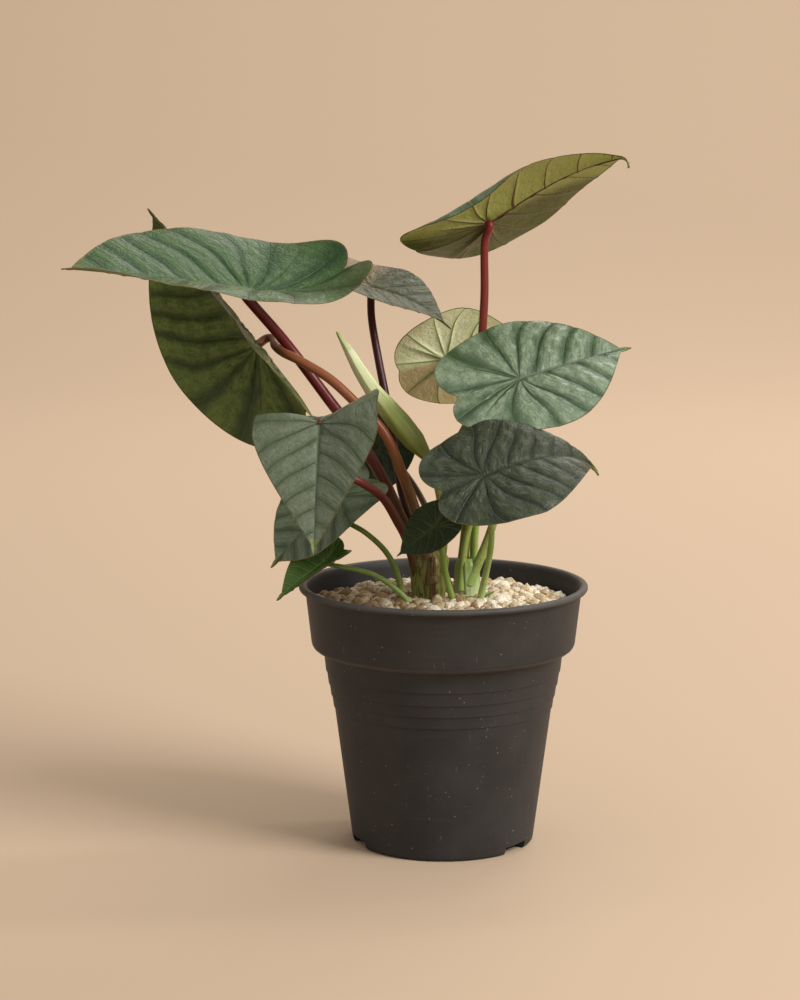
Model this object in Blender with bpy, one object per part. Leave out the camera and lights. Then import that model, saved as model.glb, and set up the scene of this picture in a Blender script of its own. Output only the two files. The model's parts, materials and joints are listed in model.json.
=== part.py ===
"""A small alocasia in a round nursery pot: blades on petioles, two crowns, gravel, potting mix and pot.

Metres, +Z up. The pot axis is the Z axis, the pot stands on z = 0, and -Y is the front.
"""

import math

import bmesh
import bpy
import numpy as np

# Pot, metres
POT_HEIGHT = 0.109
POT_RIM_RADIUS = 0.0600
POT_FOOT_RADIUS = 0.0378
POT_WALL = 0.0013
POT_BASE_THICKNESS = 0.0016
NOTCH_WIDTH = 0.015
NOTCH_HEIGHT = 0.0035
NOTCH_ANGLES = (-38, -158, 82)
# Filling, metres
MIX_BELOW_RIM = 0.0130
GRAVEL_DEPTH = 0.0052
GRAVEL_MOUND = 0.0016
# Plant
PLANT_SCALE = 1.0
BLADE_THICKNESS = 0.0008
PETIOLE_GIRTH = 1.0
GAP = 0.0003
MM = 0.001

# Blades. Heights are above the top of the potting mix, and lengths are in millimetres.
# "at" is where the petiole meets the blade; az, pitch and roll are degrees; fore and aft are the
# lengths of the blade towards its tip and towards its rear lobes.
BLADES = {
    "upper_left": dict(
        at=(-80, 4, 134), az=205, pitch=11, roll=-8, fore=81, aft=52, width=82, wide=0.12, ovate=2.3,
        arch=4, arch_aft=-52, fold=(18, 34), curl=(-16, -8), fold_tip=0.6, fold_aft=0.6, droop=10,
    ),
    "hanging_left": dict(
        at=(-79, 26, 109), az=159, pitch=49, roll=-124, fore=75, aft=42, width=74,
        fold=(50, 50), fold_tip=1.0, fold_aft=1.0,
    ),
    "upper_middle": dict(
        at=(-30, 42, 133), az=-20, pitch=-10, roll=10, fore=40, aft=34, width=46,
        arch=36, arch_aft=-16, fold=(8, 24), curl=(0, -24),
    ),
    "upper_right": dict(
        at=(18, 15, 162), az=-12, pitch=34, roll=-30, fore=70, aft=36, width=60, bend=2.0,
        arch=36, arch_aft=-34, twist_aft=12, fold=(8, 14), curl=(0, -36), droop=90,
    ),
    "round_middle": dict(
        at=(2, 52, 101), az=5, pitch=14, roll=-66, fore=38, aft=22, width=47, wide=0.2,
        arch=10, fold=(0, 10), curl=(0, -20),
    ),
    "right": dict(
        at=(31, -10, 100), az=16, pitch=15, roll=38, fore=50, aft=33, width=60, wide=0.12, ovate=2.3,
        arch=6, fold=(10, 10), curl=(-16, -20),
    ),
    "lower_right": dict(
        at=(15, -56, 67), az=14, pitch=20, roll=37, fore=55, aft=23, width=56, wide=0.2, bend=2.0,
        arch=85, fold=(12, 12), curl=(-30, -24),
    ),
    "front_left": dict(
        at=(-50, -48, 86), az=-95, pitch=-62, roll=8, fore=54, aft=26, width=53, ovate=1.4, drip=0.04,
        arch=6, kink=70, twist_aft=16, fold=(24, 20), curl=(-10, -20),
    ),
    "lower_left": dict(
        at=(-46, -6, 49), az=190, pitch=-44, roll=-34, fore=38, aft=22, width=42, ovate=2.8,
        arch=10, arch_aft=50, fold=(10, 10),
    ),
    "small_left": dict(
        at=(-48, -12, 25), az=200, pitch=-28, roll=-25, fore=27, aft=10, width=22, arch=20,
    ),
    "small_front": dict(
        at=(-4, -32, 42), az=180, pitch=-35, roll=-50, fore=20, aft=11, width=22, arch=10, fold=(10, 10),
    ),
    "back_left": dict(
        at=(-28, 34, 65), az=180, pitch=-50, roll=-60, fore=34, aft=16, width=36, arch=10,
    ),
    "back_right": dict(
        at=(21, 2, 78), az=180, pitch=-10, roll=-60, fore=18, aft=10, width=22, arch=10,
    ),
}
BLADE_FORM = dict(
    wide=0.08, lobe=0.34, ovate=2.0, acute=1.15, drip=0.1, arch=0, arch_aft=0, bend=1.2, kink=0, droop=0,
    fold=(0, 0), curl=(0, 0), fold_tip=0.6, fold_aft=1.0, twist_aft=0,
)

# A blade that hangs just over the rim rises as the plant shrinks, in millimetres for each unit of PLANT_SCALE.
RIM_LIFT = {"small_left": 25}

# Petioles: radius at the foot and at the blade, then points from the foot up, in millimetres.
# "crown" ones grow out of a crown, the rest out of the potting mix.
PETIOLES = {
    "upper_left": (2.6, 2.1, "main", [(-11, 3, 22), (-14, 5, 32), (-18, 7, 40), (-26, 9, 57), (-36, 11, 73),
                                      (-47, 14, 87), (-59, 16, 103), (-68, 13, 115)]),
    "hanging_left": (2.4, 1.8, "main", [(-6, -6, 22), (-8, -5, 32), (-11, -4, 42), (-16, -2, 56), (-24, -1, 75),
                                        (-36, 0, 88), (-47, 2, 98), (-59, 5, 105), (-66, 9, 108),
                                      (-70, 18, 110), (-71, 26, 112), (-74, 29, 112)]),
    "upper_middle": (2.0, 1.6, "main", [(-6, 5, 22), (-8, 7, 30), (-15, 11, 42), (-19, 17, 58), (-23, 26, 82),
                                        (-27, 34, 102), (-30, 40, 119)]),
    "upper_right": (2.2, 1.6, "offset", [(8, 5, 18), (9, 6, 28), (10, 8, 38), (13, 14, 63), (15, 17, 96),
                                         (17, 17, 129), (17, 16, 152)]),
    "round_middle": (1.7, 1.3, "offset", [(13, 6, 18), (13, 8, 28), (14, 11, 40), (14, 17, 55), (12, 26, 74),
                                          (7, 42, 93)]),
    "right": (1.8, 1.4, "offset", [(13, 0, 18), (16, 0, 25), (20, 0, 36), (23, -1, 48), (27, -5, 69), (29, -10, 87)]),
    "lower_right": (1.4, 1.1, "mix", [(15, -7, -4), (15, -8, 6), (17, -13, 18), (19, -25, 34), (18, -42, 53)]),
    "front_left": (2.0, 1.5, "main", [(-12, -5, 22), (-15, -8, 32), (-19, -14, 41), (-25, -21, 52), (-33, -28, 59),
                                      (-40, -32, 63), (-46, -40, 69)]),
    "lower_left": (1.3, 1.0, "mix", [(-16, -6, -4), (-17, -7, 6), (-19, -8, 18), (-24, -10, 28), (-32, -12, 36),
                                     (-41, -8, 41)]),
    "small_left": (1.2, 0.9, "mix", [(-12, -11, -4), (-14, -12, 6), (-20, -13, 13), (-29, -14, 19), (-40, -14, 22)]),
    "small_front": (1.3, 1.0, "mix", [(4, -9, -4), (4, -10, 6), (1, -14, 18), (-1, -23, 31)]),
    "back_left": (1.6, 1.2, "main", [(-1, 5, 22), (-4, 12, 34), (-10, 28, 46), (-19, 41, 57)]),
    "back_right": (1.3, 1.0, "offset", [(8, 0, 18), (9, 1, 28), (12, 3, 40), (17, 4, 60)]),
}
# A petiole that passes close by another stands off from it as both grow in girth, in mm for each unit of girth.
STAND_OFF = {"hanging_left": (-5, -1, -5)}

# Crowns: centre x, y, then (height, radius across, radius deep) rows in millimetres
CROWNS = {
    "main": ((-6, -1), [(GAP / MM, 7.0, 6.6), (8, 6.8, 6.6), (16, 7.4, 7.4), (22, 8.2, 8.2), (26, 8.0, 8.0)]),
    "offset": ((10, 3), [(GAP / MM, 6.0, 5.4), (8, 5.4, 5.0), (16, 5.2, 5.0), (22, 5.2, 5.0)]),
}
# Rolled leaf: points from its foot to its tip and the radius at each
ROLL_PATH = [(-7, 0, 66), (-12, 2, 72), (-18, 4, 79), (-24, 6, 86), (-29, 8, 92), (-35, 10, 101), (-39, 11, 108),
             (-44, 12, 116)]
ROLL_RADII = (2.4, 4.6, 5.0, 4.4, 3.6, 2.9, 2.2, 0.6)
ROLL_STEP = 0.22
ROLL_STEM = [(-1, -1, 22), (0, -2, 34), (-1, -2, 48), (-4, -1, 60)]
SHEATH_ARC = (-100, -55)
SPROUTS = {"left_sprout": [(6, -7, -4), (6, -8, 5), (8, -9, 8), (12, -10, 9)],
           "right_sprout": [(17, -2, -4), (17, -2, 5), (18, -3, 8), (21, -4, 10)]}


def material(name, colour, roughness, metallic=0.0):
    made = bpy.data.materials.new(name)
    made.use_nodes = True
    shader = made.node_tree.nodes["Principled BSDF"]
    shader.inputs["Base Color"].default_value = (*colour, 1)
    shader.inputs["Roughness"].default_value = roughness
    shader.inputs["Metallic"].default_value = metallic
    made.diffuse_color = (*colour, 1)
    return made


def solid(name, points, faces, colour, roughness=0.5, smooth=True):
    """An object from points in metres; its faces are turned to face out."""
    mesh = bpy.data.meshes.new(name)
    mesh.from_pydata([tuple(point) for point in points], [], [tuple(face) for face in faces])
    bm = bmesh.new()
    bm.from_mesh(mesh)
    bmesh.ops.triangulate(bm, faces=bm.faces)
    bmesh.ops.recalc_face_normals(bm, faces=bm.faces)
    bm.to_mesh(mesh)
    bm.free()
    obj = bpy.data.objects.new(name, mesh)
    bpy.context.scene.collection.objects.link(obj)
    mesh.materials.append(material(name, colour, roughness))
    for face in mesh.polygons:
        face.use_smooth = smooth
    return obj


def cut(target, cutters):
    """Subtracts each helper from the target and leaves the helpers out of the model."""
    for cutter in cutters:
        cutter.hide_render = True
        cutter.display_type = "WIRE"
        boolean = target.modifiers.new("cut " + cutter.name, "BOOLEAN")
        boolean.operation = "DIFFERENCE"
        boolean.solver = "EXACT"
        boolean.object = cutter


def plant_point(point):
    """A plant point in millimetres above the mix, to metres above the floor. It scales about the rim's height."""
    x, y, z = np.asarray(point, float) * MM
    over_rim = (z - MIX_BELOW_RIM) * PLANT_SCALE
    return np.array([x * PLANT_SCALE, y * PLANT_SCALE, POT_HEIGHT + over_rim])


def rings_to_solid(rings):
    """Points and faces of a closed body through rings of equal count, capped at both ends."""
    count = len(rings[0])
    points = np.concatenate([np.asarray(ring) for ring in rings])
    faces = []
    for k in range(len(rings) - 1):
        for j in range(count):
            a, b = k * count + j, k * count + (j + 1) % count
            faces.append((a, b, b + count, a + count))
    ends = [rings[0].mean(0), rings[-1].mean(0)]
    points = np.concatenate([points, ends])
    last = (len(rings) - 1) * count
    for j in range(count):
        faces.append(((j + 1) % count, j, len(points) - 2))
        faces.append((last + j, last + (j + 1) % count, len(points) - 1))
    return points, faces


def revolve(profile, count):
    """A closed body from (radius, height) points that start and end on the axis."""
    turns = np.arange(count) * 2 * math.pi / count
    points = [(0, 0, profile[0][1])]
    for radius, height in profile[1:-1]:
        points += [(radius * math.cos(t), radius * math.sin(t), height) for t in turns]
    points.append((0, 0, profile[-1][1]))
    faces = []
    rows = len(profile) - 2
    for j in range(count):
        after = (j + 1) % count
        faces.append((0, 1 + after, 1 + j))
        for k in range(rows - 1):
            a, b = 1 + k * count + j, 1 + k * count + after
            faces.append((a, b, b + count, a + count))
        faces.append((1 + (rows - 1) * count + j, 1 + (rows - 1) * count + after, len(points) - 1))
    return points, faces


# Pot

def wall_radius(height, inside=False):
    """Radius of the plain tapered wall, in millimetres, for the standard pot."""
    outer = 37.8 + 10.5 * height / 81
    return outer - 1.3 if inside else outer


def pot_profile():
    up = POT_HEIGHT / 0.109
    out = POT_RIM_RADIUS / 0.060
    foot = POT_FOOT_RADIUS / 0.0378
    steps = [57.7, 62.6, 67.5, 73.0]
    rows = [(0, 0), (36.9, 0), (37.9, 1.0)]
    ledge = 0.0
    for height in steps:
        rows.append((wall_radius(height) + ledge, height - 0.1))
        ledge += 0.4
        rows.append((wall_radius(height) + ledge, height + 0.3))
    rows += [(49.8, 80.6), (51.2, 81.6), (53.9, 82.6), (54.9, 84.6), (57.4, 106.4), (59.1, 106.5),
             (60.0, 107.3), (60.0, 108.3), (59.2, 109.0), (57.5, 109.0), (56.5, 108.0)]
    wall = POT_WALL / MM
    rows += [(57.4 - wall, 105.4), (54.9 - wall, 84.9), (53.3 - wall, 83.9), (50.6 - wall, 82.9),
             (49.4 - wall, 81.6), (wall_radius(57) + 0.3 - wall, 57.0), (37.9 - wall, 2.4)]
    rows += [(37.2 - wall, POT_BASE_THICKNESS / MM), (0, POT_BASE_THICKNESS / MM)]
    profile = []
    for radius, height in rows:
        share = min(1.0, height / 81)
        wider = foot + (out - foot) * share
        tall = height if height < 3 else 3 + (height - 3) * (109 * up - 3) / 106
        profile.append((radius * wider * MM, tall * MM))
    return profile


def inner_radius(height):
    """Radius of the pot's inner wall at a height in metres."""
    profile = pot_profile()
    inner = profile[-10:-1][::-1]
    return float(np.interp(height, [z for r, z in inner], [r for r, z in inner]))


def build_pot():
    points, faces = revolve(pot_profile(), 44)
    pot = solid("pot", points, faces, (0.03, 0.03, 0.032), 0.6)
    cutters = []
    for number, degrees in enumerate(NOTCH_ANGLES):
        turn = math.radians(degrees)
        along = np.array([math.cos(turn), math.sin(turn), 0])
        side = np.array([-math.sin(turn), math.cos(turn), 0])
        box = []
        for z in (-0.002, NOTCH_HEIGHT):
            for reach, across in ((-1, -1), (1, -1), (1, 1), (-1, 1)):
                middle = POT_FOOT_RADIUS + reach * 0.005
                width = NOTCH_WIDTH / 2 - (0.001 if z > 0 else 0)
                box.append(middle * along + across * width * side + np.array([0, 0, z]))
        faces = [(0, 1, 2, 3), (4, 5, 6, 7), (0, 1, 5, 4), (1, 2, 6, 5), (2, 3, 7, 6), (3, 0, 4, 7)]
        cutters.append(solid(f"notch_cutter_{number}", box, faces, (0.5, 0.5, 0.5)))
    cut(pot, cutters)


def mix_top():
    return POT_HEIGHT - MIX_BELOW_RIM


def build_mix():
    bottom = POT_BASE_THICKNESS + GAP
    heights = [bottom, bottom + 0.0012]
    profile = pot_profile()
    heights += sorted(z + GAP for r, z in profile[-10:-2] if bottom + 0.004 < z < mix_top() - 0.002)
    heights.append(mix_top())
    rows = [(0, bottom)]
    for height in heights:
        rows.append((min(inner_radius(height - GAP), inner_radius(height)) - GAP, height))
    rows.append((0, mix_top()))
    points, faces = revolve(rows, 36)
    solid("potting_mix", points, faces, (0.06, 0.04, 0.025), 0.95)


def gravel_height(x, y):
    """Height of the gravel over the mix: a low mound with a pebbly top, in metres."""
    reach = np.hypot(x, y) / inner_radius(mix_top())
    mound = GRAVEL_MOUND * (1 - reach ** 2)
    bumps = np.sin(x * 900 + 1.7 * np.sin(y * 760)) * np.sin(y * 840 + 1.3 * np.sin(x * 690))
    return GRAVEL_DEPTH + mound + 0.0006 * bumps


def build_gravel(cutters):
    base = mix_top() + GAP
    radius = inner_radius(base) - GAP
    count = 32
    rings = 5
    turns = np.arange(count) * 2 * math.pi / count
    points = [(0, 0, base)]
    points += [(radius * math.cos(t), radius * math.sin(t), base) for t in turns]
    for k in range(rings, 0, -1):
        reach = (radius + (0.0002 if k == rings else 0)) * k / rings
        for t in turns:
            x, y = reach * math.cos(t), reach * math.sin(t)
            points.append((x, y, base + float(gravel_height(x, y))))
    points.append((0, 0, base + float(gravel_height(0, 0))))
    faces = []
    for j in range(count):
        after = (j + 1) % count
        faces.append((0, 1 + after, 1 + j))
        for k in range(rings):
            a, b = 1 + k * count + j, 1 + k * count + after
            faces.append((a, b, b + count, a + count))
        faces.append((1 + rings * count + j, 1 + rings * count + after, len(points) - 1))
    gravel = solid("gravel_dressing", points, faces, (0.62, 0.53, 0.42), 0.9)
    cut(gravel, cutters)


# Blades

def blade_form(name):
    """All the sizes of a blade."""
    form = BLADE_FORM | BLADES[name]
    x, y, z = form["at"]
    form["at"] = (x, y, z + rim_lift(name))
    return form


def rim_lift(name):
    return RIM_LIFT.get(name, 0) * (1 - PLANT_SCALE)


def half_outline(form, fine, round_steps):
    """(along, across) of half a blade's edge, from the tip to the notch between the rear lobes."""
    half = form["width"] / 2
    wide = form["wide"] * form["fore"]
    lobe = form["lobe"] * half
    step = np.linspace(0, 1, fine)
    reach = 1 - step ** 1.6
    along = wide + (form["fore"] - wide) * reach
    body = np.minimum(1, reach / (1 - form["drip"]))
    across = half * (1 - body ** form["ovate"]) ** form["acute"]
    across = np.maximum(across, 0.8 * np.minimum(1, (1 - reach) * form["fore"] / 3))
    turn = np.linspace(0, math.pi - math.acos(lobe / (half - lobe)), round_steps)[1:]
    rear = wide - (form["aft"] + wide) * np.sin(turn)
    inward = lobe + (half - lobe) * np.cos(turn)
    inward[-1] = 0
    return np.concatenate([along, rear]), np.concatenate([across, inward])


def turning(form):
    az, pitch, roll = (math.radians(form[key]) for key in ("az", "pitch", "roll"))
    about_z = np.array([[math.cos(az), -math.sin(az), 0], [math.sin(az), math.cos(az), 0], [0, 0, 1]])
    about_y = np.array([[math.cos(pitch), 0, -math.sin(pitch)], [0, 1, 0], [math.sin(pitch), 0, math.cos(pitch)]])
    about_x = np.array([[1, 0, 0], [0, math.cos(roll), -math.sin(roll)], [0, math.sin(roll), math.cos(roll)]])
    return about_z @ about_y @ about_x


def blade_surface(form, along, across):
    """The upper face of a blade, in millimetres above the mix, at flat positions on the blade."""
    fore, aft, half = form["fore"], form["aft"], form["width"] / 2
    along, across = np.broadcast_arrays(np.asarray(along, float), np.asarray(across, float))
    steps = (np.arange(24) + 0.5) / 24

    def lift(place):
        ahead = np.clip(place / fore, 0, 1.2)
        behind = np.clip(-place / aft, 0, 1.2)
        drip = np.clip((ahead - 0.88) / 0.12, 0, 1)
        bent = form["arch_aft"] * behind + form["kink"] * np.tanh(np.clip(-place, 0, None) / 4)
        return np.radians(bent - form["arch"] * ahead ** form["bend"] - form["droop"] * drip)

    slopes = lift(along[..., None] * steps)
    middle = np.stack([np.cos(slopes).mean(-1) * along, 0 * along, np.sin(slopes).mean(-1) * along], -1)
    slope = lift(along)
    ahead = np.clip(along / fore, 0, 1)
    behind = np.clip(-along / aft, 0, 1)
    left = across >= 0
    fold = np.where(left, form["fold"][0], form["fold"][1])
    fold = np.radians(fold) * (1 + (form["fold_tip"] - 1) * ahead + (form["fold_aft"] - 1) * behind)
    curl = np.radians(np.where(left, form["curl"][0], form["curl"][1]))
    out = np.abs(across)
    spans = out[..., None] * steps
    rise = fold[..., None] * np.tanh(spans / 5) + curl[..., None] * spans / half
    flat = np.cos(rise).mean(-1) * out * np.where(left, 1, -1)
    high = np.sin(rise).mean(-1) * out
    twist = np.radians(form["twist_aft"]) * behind
    normal = np.stack([-np.sin(slope), 0 * slope, np.cos(slope)], -1)
    side = np.array([0, 1, 0])
    level = np.cos(twist)[..., None] * side + np.sin(twist)[..., None] * normal
    upward = np.cos(twist)[..., None] * normal - np.sin(twist)[..., None] * side
    place = middle + flat[..., None] * level + high[..., None] * upward
    return place @ turning(form).T + np.array(form["at"], float)


def blade_normal(form, along, across):
    step = 0.2
    ahead = blade_surface(form, along + step, across) - blade_surface(form, along - step, across)
    aside = blade_surface(form, along, across + step) - blade_surface(form, along, across - step)
    normal = np.cross(ahead, aside)
    return normal / np.linalg.norm(normal, axis=-1, keepdims=True)


def build_blade(name, form, colour):
    big = form["width"] > 30
    along, across = half_outline(form, 8 if big else 6, 7 if big else 6)
    along = np.concatenate([along, along[-2:0:-1]])
    across = np.concatenate([across, -across[-2:0:-1]])
    rings = [0.3, 0.68, 1.0] if big else [0.5, 1.0]
    s = np.concatenate([[0.0], *[along * reach for reach in rings]])
    w = np.concatenate([[0.0], *[across * reach for reach in rings]])
    top = blade_surface(form, s, w)
    under = top - blade_normal(form, s, w) * BLADE_THICKNESS / MM / PLANT_SCALE
    count, side = len(along), len(s)
    faces = []
    for j in range(count):
        after = (j + 1) % count
        faces.append((0, 1 + j, 1 + after))
        faces.append((side, side + 1 + after, side + 1 + j))
        for k in range(len(rings) - 1):
            a, b = 1 + k * count + j, 1 + k * count + after
            faces.append((a, a + count, b + count, b))
            faces.append((side + a, side + b, side + b + count, side + a + count))
        a, b = 1 + (len(rings) - 1) * count + j, 1 + (len(rings) - 1) * count + after
        faces.append((a, side + a, side + b, b))
    points = [plant_point(point) for point in np.concatenate([top, under])]
    return solid(name + "_blade", points, faces, colour, 0.45)


def blade_cutter(name, form):
    """A thick patch over the place where the petiole meets the blade: flat, or bent with a bent-back blade."""
    low, high = -(BLADE_THICKNESS + GAP) / MM / PLANT_SCALE - 0.015 * form["kink"], 4.0
    grid = np.linspace(-8, 8, 9)
    s, w = np.meshgrid(grid, grid, indexing="ij")
    s, w = s.ravel(), w.ravel()
    if form["kink"]:
        normal = blade_normal(form, s, w)
        top = blade_surface(form, s, w)
    else:
        turn = turning(form)
        normal = np.broadcast_to(turn @ np.array([0, 0, 1]), (len(s), 3))
        top = np.array(form["at"], float) + s[:, None] * (turn @ np.array([1, 0, 0]))
        top = top + w[:, None] * (turn @ np.array([0, 1, 0]))
    count = len(s)
    faces = []
    for i in range(8):
        for j in range(8):
            a = i * 9 + j
            faces.append((a, a + 1, a + 10, a + 9))
            faces.append((count + a, count + a + 9, count + a + 10, count + a + 1))
    edge = [i for i in range(9)] + [i * 9 + 8 for i in range(1, 9)]
    edge += [8 * 9 + j for j in range(7, -1, -1)] + [i * 9 for i in range(7, 0, -1)]
    for a, b in zip(edge, edge[1:] + edge[:1]):
        faces.append((a, b, count + b, count + a))
    points = [plant_point(point) for point in np.concatenate([top + normal * low, top + normal * high])]
    return solid(name, points, faces, (0.5, 0.5, 0.5))


# Stems

def smooth_path(points, steps):
    """A smooth curve through the points, sampled a few times in each span."""
    P = np.asarray(points, float)
    P = np.concatenate([[2 * P[0] - P[1]], P, [2 * P[-1] - P[-2]]])
    found = []
    for i in range(1, len(P) - 2):
        a, b, c, d = P[i - 1], P[i], P[i + 1], P[i + 2]
        for step in range(steps):
            t = step / steps
            found.append(0.5 * (2 * b + (c - a) * t + (2 * a - 5 * b + 4 * c - d) * t ** 2
                                + (3 * b - a - 3 * c + d) * t ** 3))
    found.append(P[-2])
    return np.array(found)


def tube_rings(path, radii, sides, shape=None):
    """Rings round a path; shape(turn) scales the radius at each turn."""
    path = np.asarray(path, float)
    tangents = np.gradient(path, axis=0)
    tangents /= np.linalg.norm(tangents, axis=1, keepdims=True)
    across = np.cross(tangents[0], [0, 1, 0])
    across /= np.linalg.norm(across)
    rings = []
    for point, tangent, radius in zip(path, tangents, radii):
        across = across - tangent * (across @ tangent)
        across /= np.linalg.norm(across)
        other = np.cross(tangent, across)
        turns = np.arange(sides) * 2 * math.pi / sides
        scale = np.array([shape(t) if shape else 1.0 for t in turns]) * radius
        ring = point + np.cos(turns)[:, None] * across * scale[:, None] + np.sin(turns)[:, None] * other * scale[:, None]
        rings.append(ring)
    return rings


def stem_solid(name, points, start, end, sides, colour, steps=2, grow=0.0):
    path = smooth_path(points, steps)
    lengths = np.concatenate([[0], np.cumsum(np.linalg.norm(np.diff(path, axis=0), axis=1))])
    radii = start + (end - start) * lengths / lengths[-1] + grow
    rings = [np.array([plant_point(p) for p in ring]) for ring in tube_rings(path, radii, sides)]
    points, faces = rings_to_solid(rings)
    return solid(name, points, faces, colour, 0.45)


def crown_solid(name, which, grow, colour, deeper=0.0):
    """A crown with soft flutes, wider by grow millimetres all round."""
    (x, y), rows = CROWNS[which]
    turns = np.arange(20) * 2 * math.pi / 20
    rings = []
    for k, (height, wide, deep) in enumerate(rows):
        flutes = 1 + 0.05 * np.cos(5 * turns) * (height / rows[-1][0])
        z = height + (grow if k == len(rows) - 1 else 0)
        ring = np.stack([x + (wide + grow) * flutes * np.cos(turns), y + (deep + grow) * flutes * np.sin(turns),
                         np.full(20, z)], -1)
        rings.append(np.array([plant_point(p) for p in ring]))
    rings[0][:, 2] = mix_top() + GAP - deeper * MM
    points, faces = rings_to_solid(rings)
    return solid(name, points, faces, colour, 0.6)


def mix_cutter(number):
    """Everything below the top of the potting mix."""
    top = mix_top() + GAP
    box = [(x, y, z) for z in (top - 0.02, top) for x, y in ((-0.05, -0.05), (0.05, -0.05), (0.05, 0.05), (-0.05, 0.05))]
    faces = [(0, 1, 2, 3), (4, 5, 6, 7), (0, 1, 5, 4), (1, 2, 6, 5), (2, 3, 7, 6), (3, 0, 4, 7)]
    return solid(f"mix_cutter_{number}", box, faces, (0.5, 0.5, 0.5))


def petiole_points(name, points):
    """A petiole's points up to its blade, which it follows when that is lifted. Its free part keeps its stand-off."""
    stand_off = np.array(STAND_OFF.get(name, (0, 0, 0))) * (PETIOLE_GIRTH - 1)
    found = []
    for k, point in enumerate(points):
        free = 2 <= k < len(points) - 1
        lift = np.array([0, 0, rim_lift(name) * k / len(points)])
        found.append(tuple(np.array(point) + lift + (stand_off if free else 0)))
    return found


STEM_COLOURS = {
    "upper_left": (0.16, 0.03, 0.03), "hanging_left": (0.27, 0.10, 0.05), "upper_middle": (0.07, 0.02, 0.03),
    "upper_right": (0.18, 0.05, 0.05), "round_middle": (0.24, 0.32, 0.10), "right": (0.20, 0.17, 0.05),
    "lower_right": (0.28, 0.36, 0.16), "front_left": (0.12, 0.03, 0.03), "lower_left": (0.20, 0.24, 0.07),
    "small_left": (0.28, 0.36, 0.16), "small_front": (0.28, 0.36, 0.14), "back_left": (0.12, 0.06, 0.04),
    "back_right": (0.24, 0.28, 0.08),
}


def build_stems():
    """Petioles and crowns, and the helpers that leave room for them in the gravel."""
    gap = GAP / MM / PLANT_SCALE
    holes = []
    for which in CROWNS:
        crown_solid(which + "_crown", which, 0, (0.16, 0.17, 0.07))
        holes.append(crown_solid(f"{which}_crown_hole", which, 1.6 if which == "main" else gap, (0.5, 0.5, 0.5), 3))
    number = 0
    for name, (start, end, kind, points) in PETIOLES.items():
        form = blade_form(name)
        start, end = start * PETIOLE_GIRTH, end * PETIOLE_GIRTH
        place = np.zeros(1)
        normal = blade_normal(form, place, place)[0]
        top = np.array(form["at"], float)
        points = petiole_points(name, points)
        path = points + [tuple(top - normal * 1.8), tuple(top + normal * 0.3)]
        stem = stem_solid(name + "_petiole", path, start, end, 6, STEM_COLOURS[name])
        cutters = [blade_cutter(f"{name}_blade_cutter", form)]
        if kind == "mix":
            number += 1
            cutters.append(mix_cutter(number))
            holes.append(stem_solid(f"{name}_hole", points, start, start, 8, (0.5, 0.5, 0.5), grow=gap * 1.3))
        else:
            cutters.append(crown_solid(f"{name}_crown_cutter", kind, gap, (0.5, 0.5, 0.5), 3))
        cut(stem, cutters)
    for name, points in SPROUTS.items():
        number += 1
        sprout = stem_solid(name, points, 1.1, 0.4, 6, (0.18, 0.32, 0.08))
        cut(sprout, [mix_cutter(number)])
        holes.append(stem_solid(f"{name}_hole", points, 1.1, 0.5, 6, (0.5, 0.5, 0.5), grow=gap * 1.3))
    return holes


def build_rolled_leaf():
    def spiral(turn):
        return 1 + ROLL_STEP * (turn / (2 * math.pi) - 0.5)

    path = smooth_path(ROLL_PATH, 2)
    spots = np.linspace(0, 1, len(path))
    radii = np.interp(spots, np.linspace(0, 1, len(ROLL_RADII)), ROLL_RADII)
    rings = [np.array([plant_point(p) for p in ring]) for ring in tube_rings(path, radii, 12, spiral)]
    points, faces = rings_to_solid(rings)
    solid("rolled_blade", points, faces, (0.35, 0.42, 0.16), 0.45)
    ahead = np.array(ROLL_PATH[1], float) - np.array(ROLL_PATH[0], float)
    ahead /= np.linalg.norm(ahead)
    foot = np.array(ROLL_PATH[0], float)
    gap = GAP / MM / PLANT_SCALE
    stem_path = ROLL_STEM + [tuple(foot - ahead * 3), tuple(foot - ahead * gap)]
    stem = stem_solid("rolled_petiole", stem_path, 2.0 * PETIOLE_GIRTH, 1.7 * PETIOLE_GIRTH, 6, (0.26, 0.3, 0.1))
    cut(stem, [crown_solid("rolled_crown_cutter", "main", gap, (0.5, 0.5, 0.5), 3)])


def build_dry_sheath():
    """A dry strip of old leaf base that hugs the front of the main crown."""
    (x, y), rows = CROWNS["main"]
    turns = np.radians(np.linspace(SHEATH_ARC[0], SHEATH_ARC[1], 7))
    heights = [0.3, 8, 16, 22, 25.5]
    gap = GAP / MM / PLANT_SCALE
    tops = [row[0] for row in rows]
    rings = []
    for height in heights:
        wide = np.interp(height, tops, [row[1] for row in rows])
        deep = np.interp(height, tops, [row[2] for row in rows])
        narrow = 1 - 0.6 * (height / 26) ** 2
        middle = turns.mean()
        arc = middle + (turns - middle) * narrow
        flutes = 1 + 0.05 * np.cos(5 * arc) * (height / tops[-1])
        loop = []
        for extra, order in ((gap + 0.15, 1), (gap + 1.0, -1)):
            loop += [(x + (wide * f + extra) * math.cos(t), y + (deep * f + extra) * math.sin(t), height)
                     for t, f in list(zip(arc, flutes))[::order]]
        rings.append(np.array([plant_point(p) for p in loop]))
    rings[0][:, 2] = mix_top() + GAP
    points, faces = rings_to_solid(rings)
    solid("dry_sheath", points, faces, (0.09, 0.05, 0.03), 0.85)


BLADE_COLOURS = {
    "hanging_left": (0.03, 0.05, 0.015), "back_left": (0.04, 0.06, 0.03), "small_left": (0.08, 0.16, 0.04),
    "small_front": (0.03, 0.06, 0.02), "back_right": (0.16, 0.20, 0.05),
}


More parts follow.
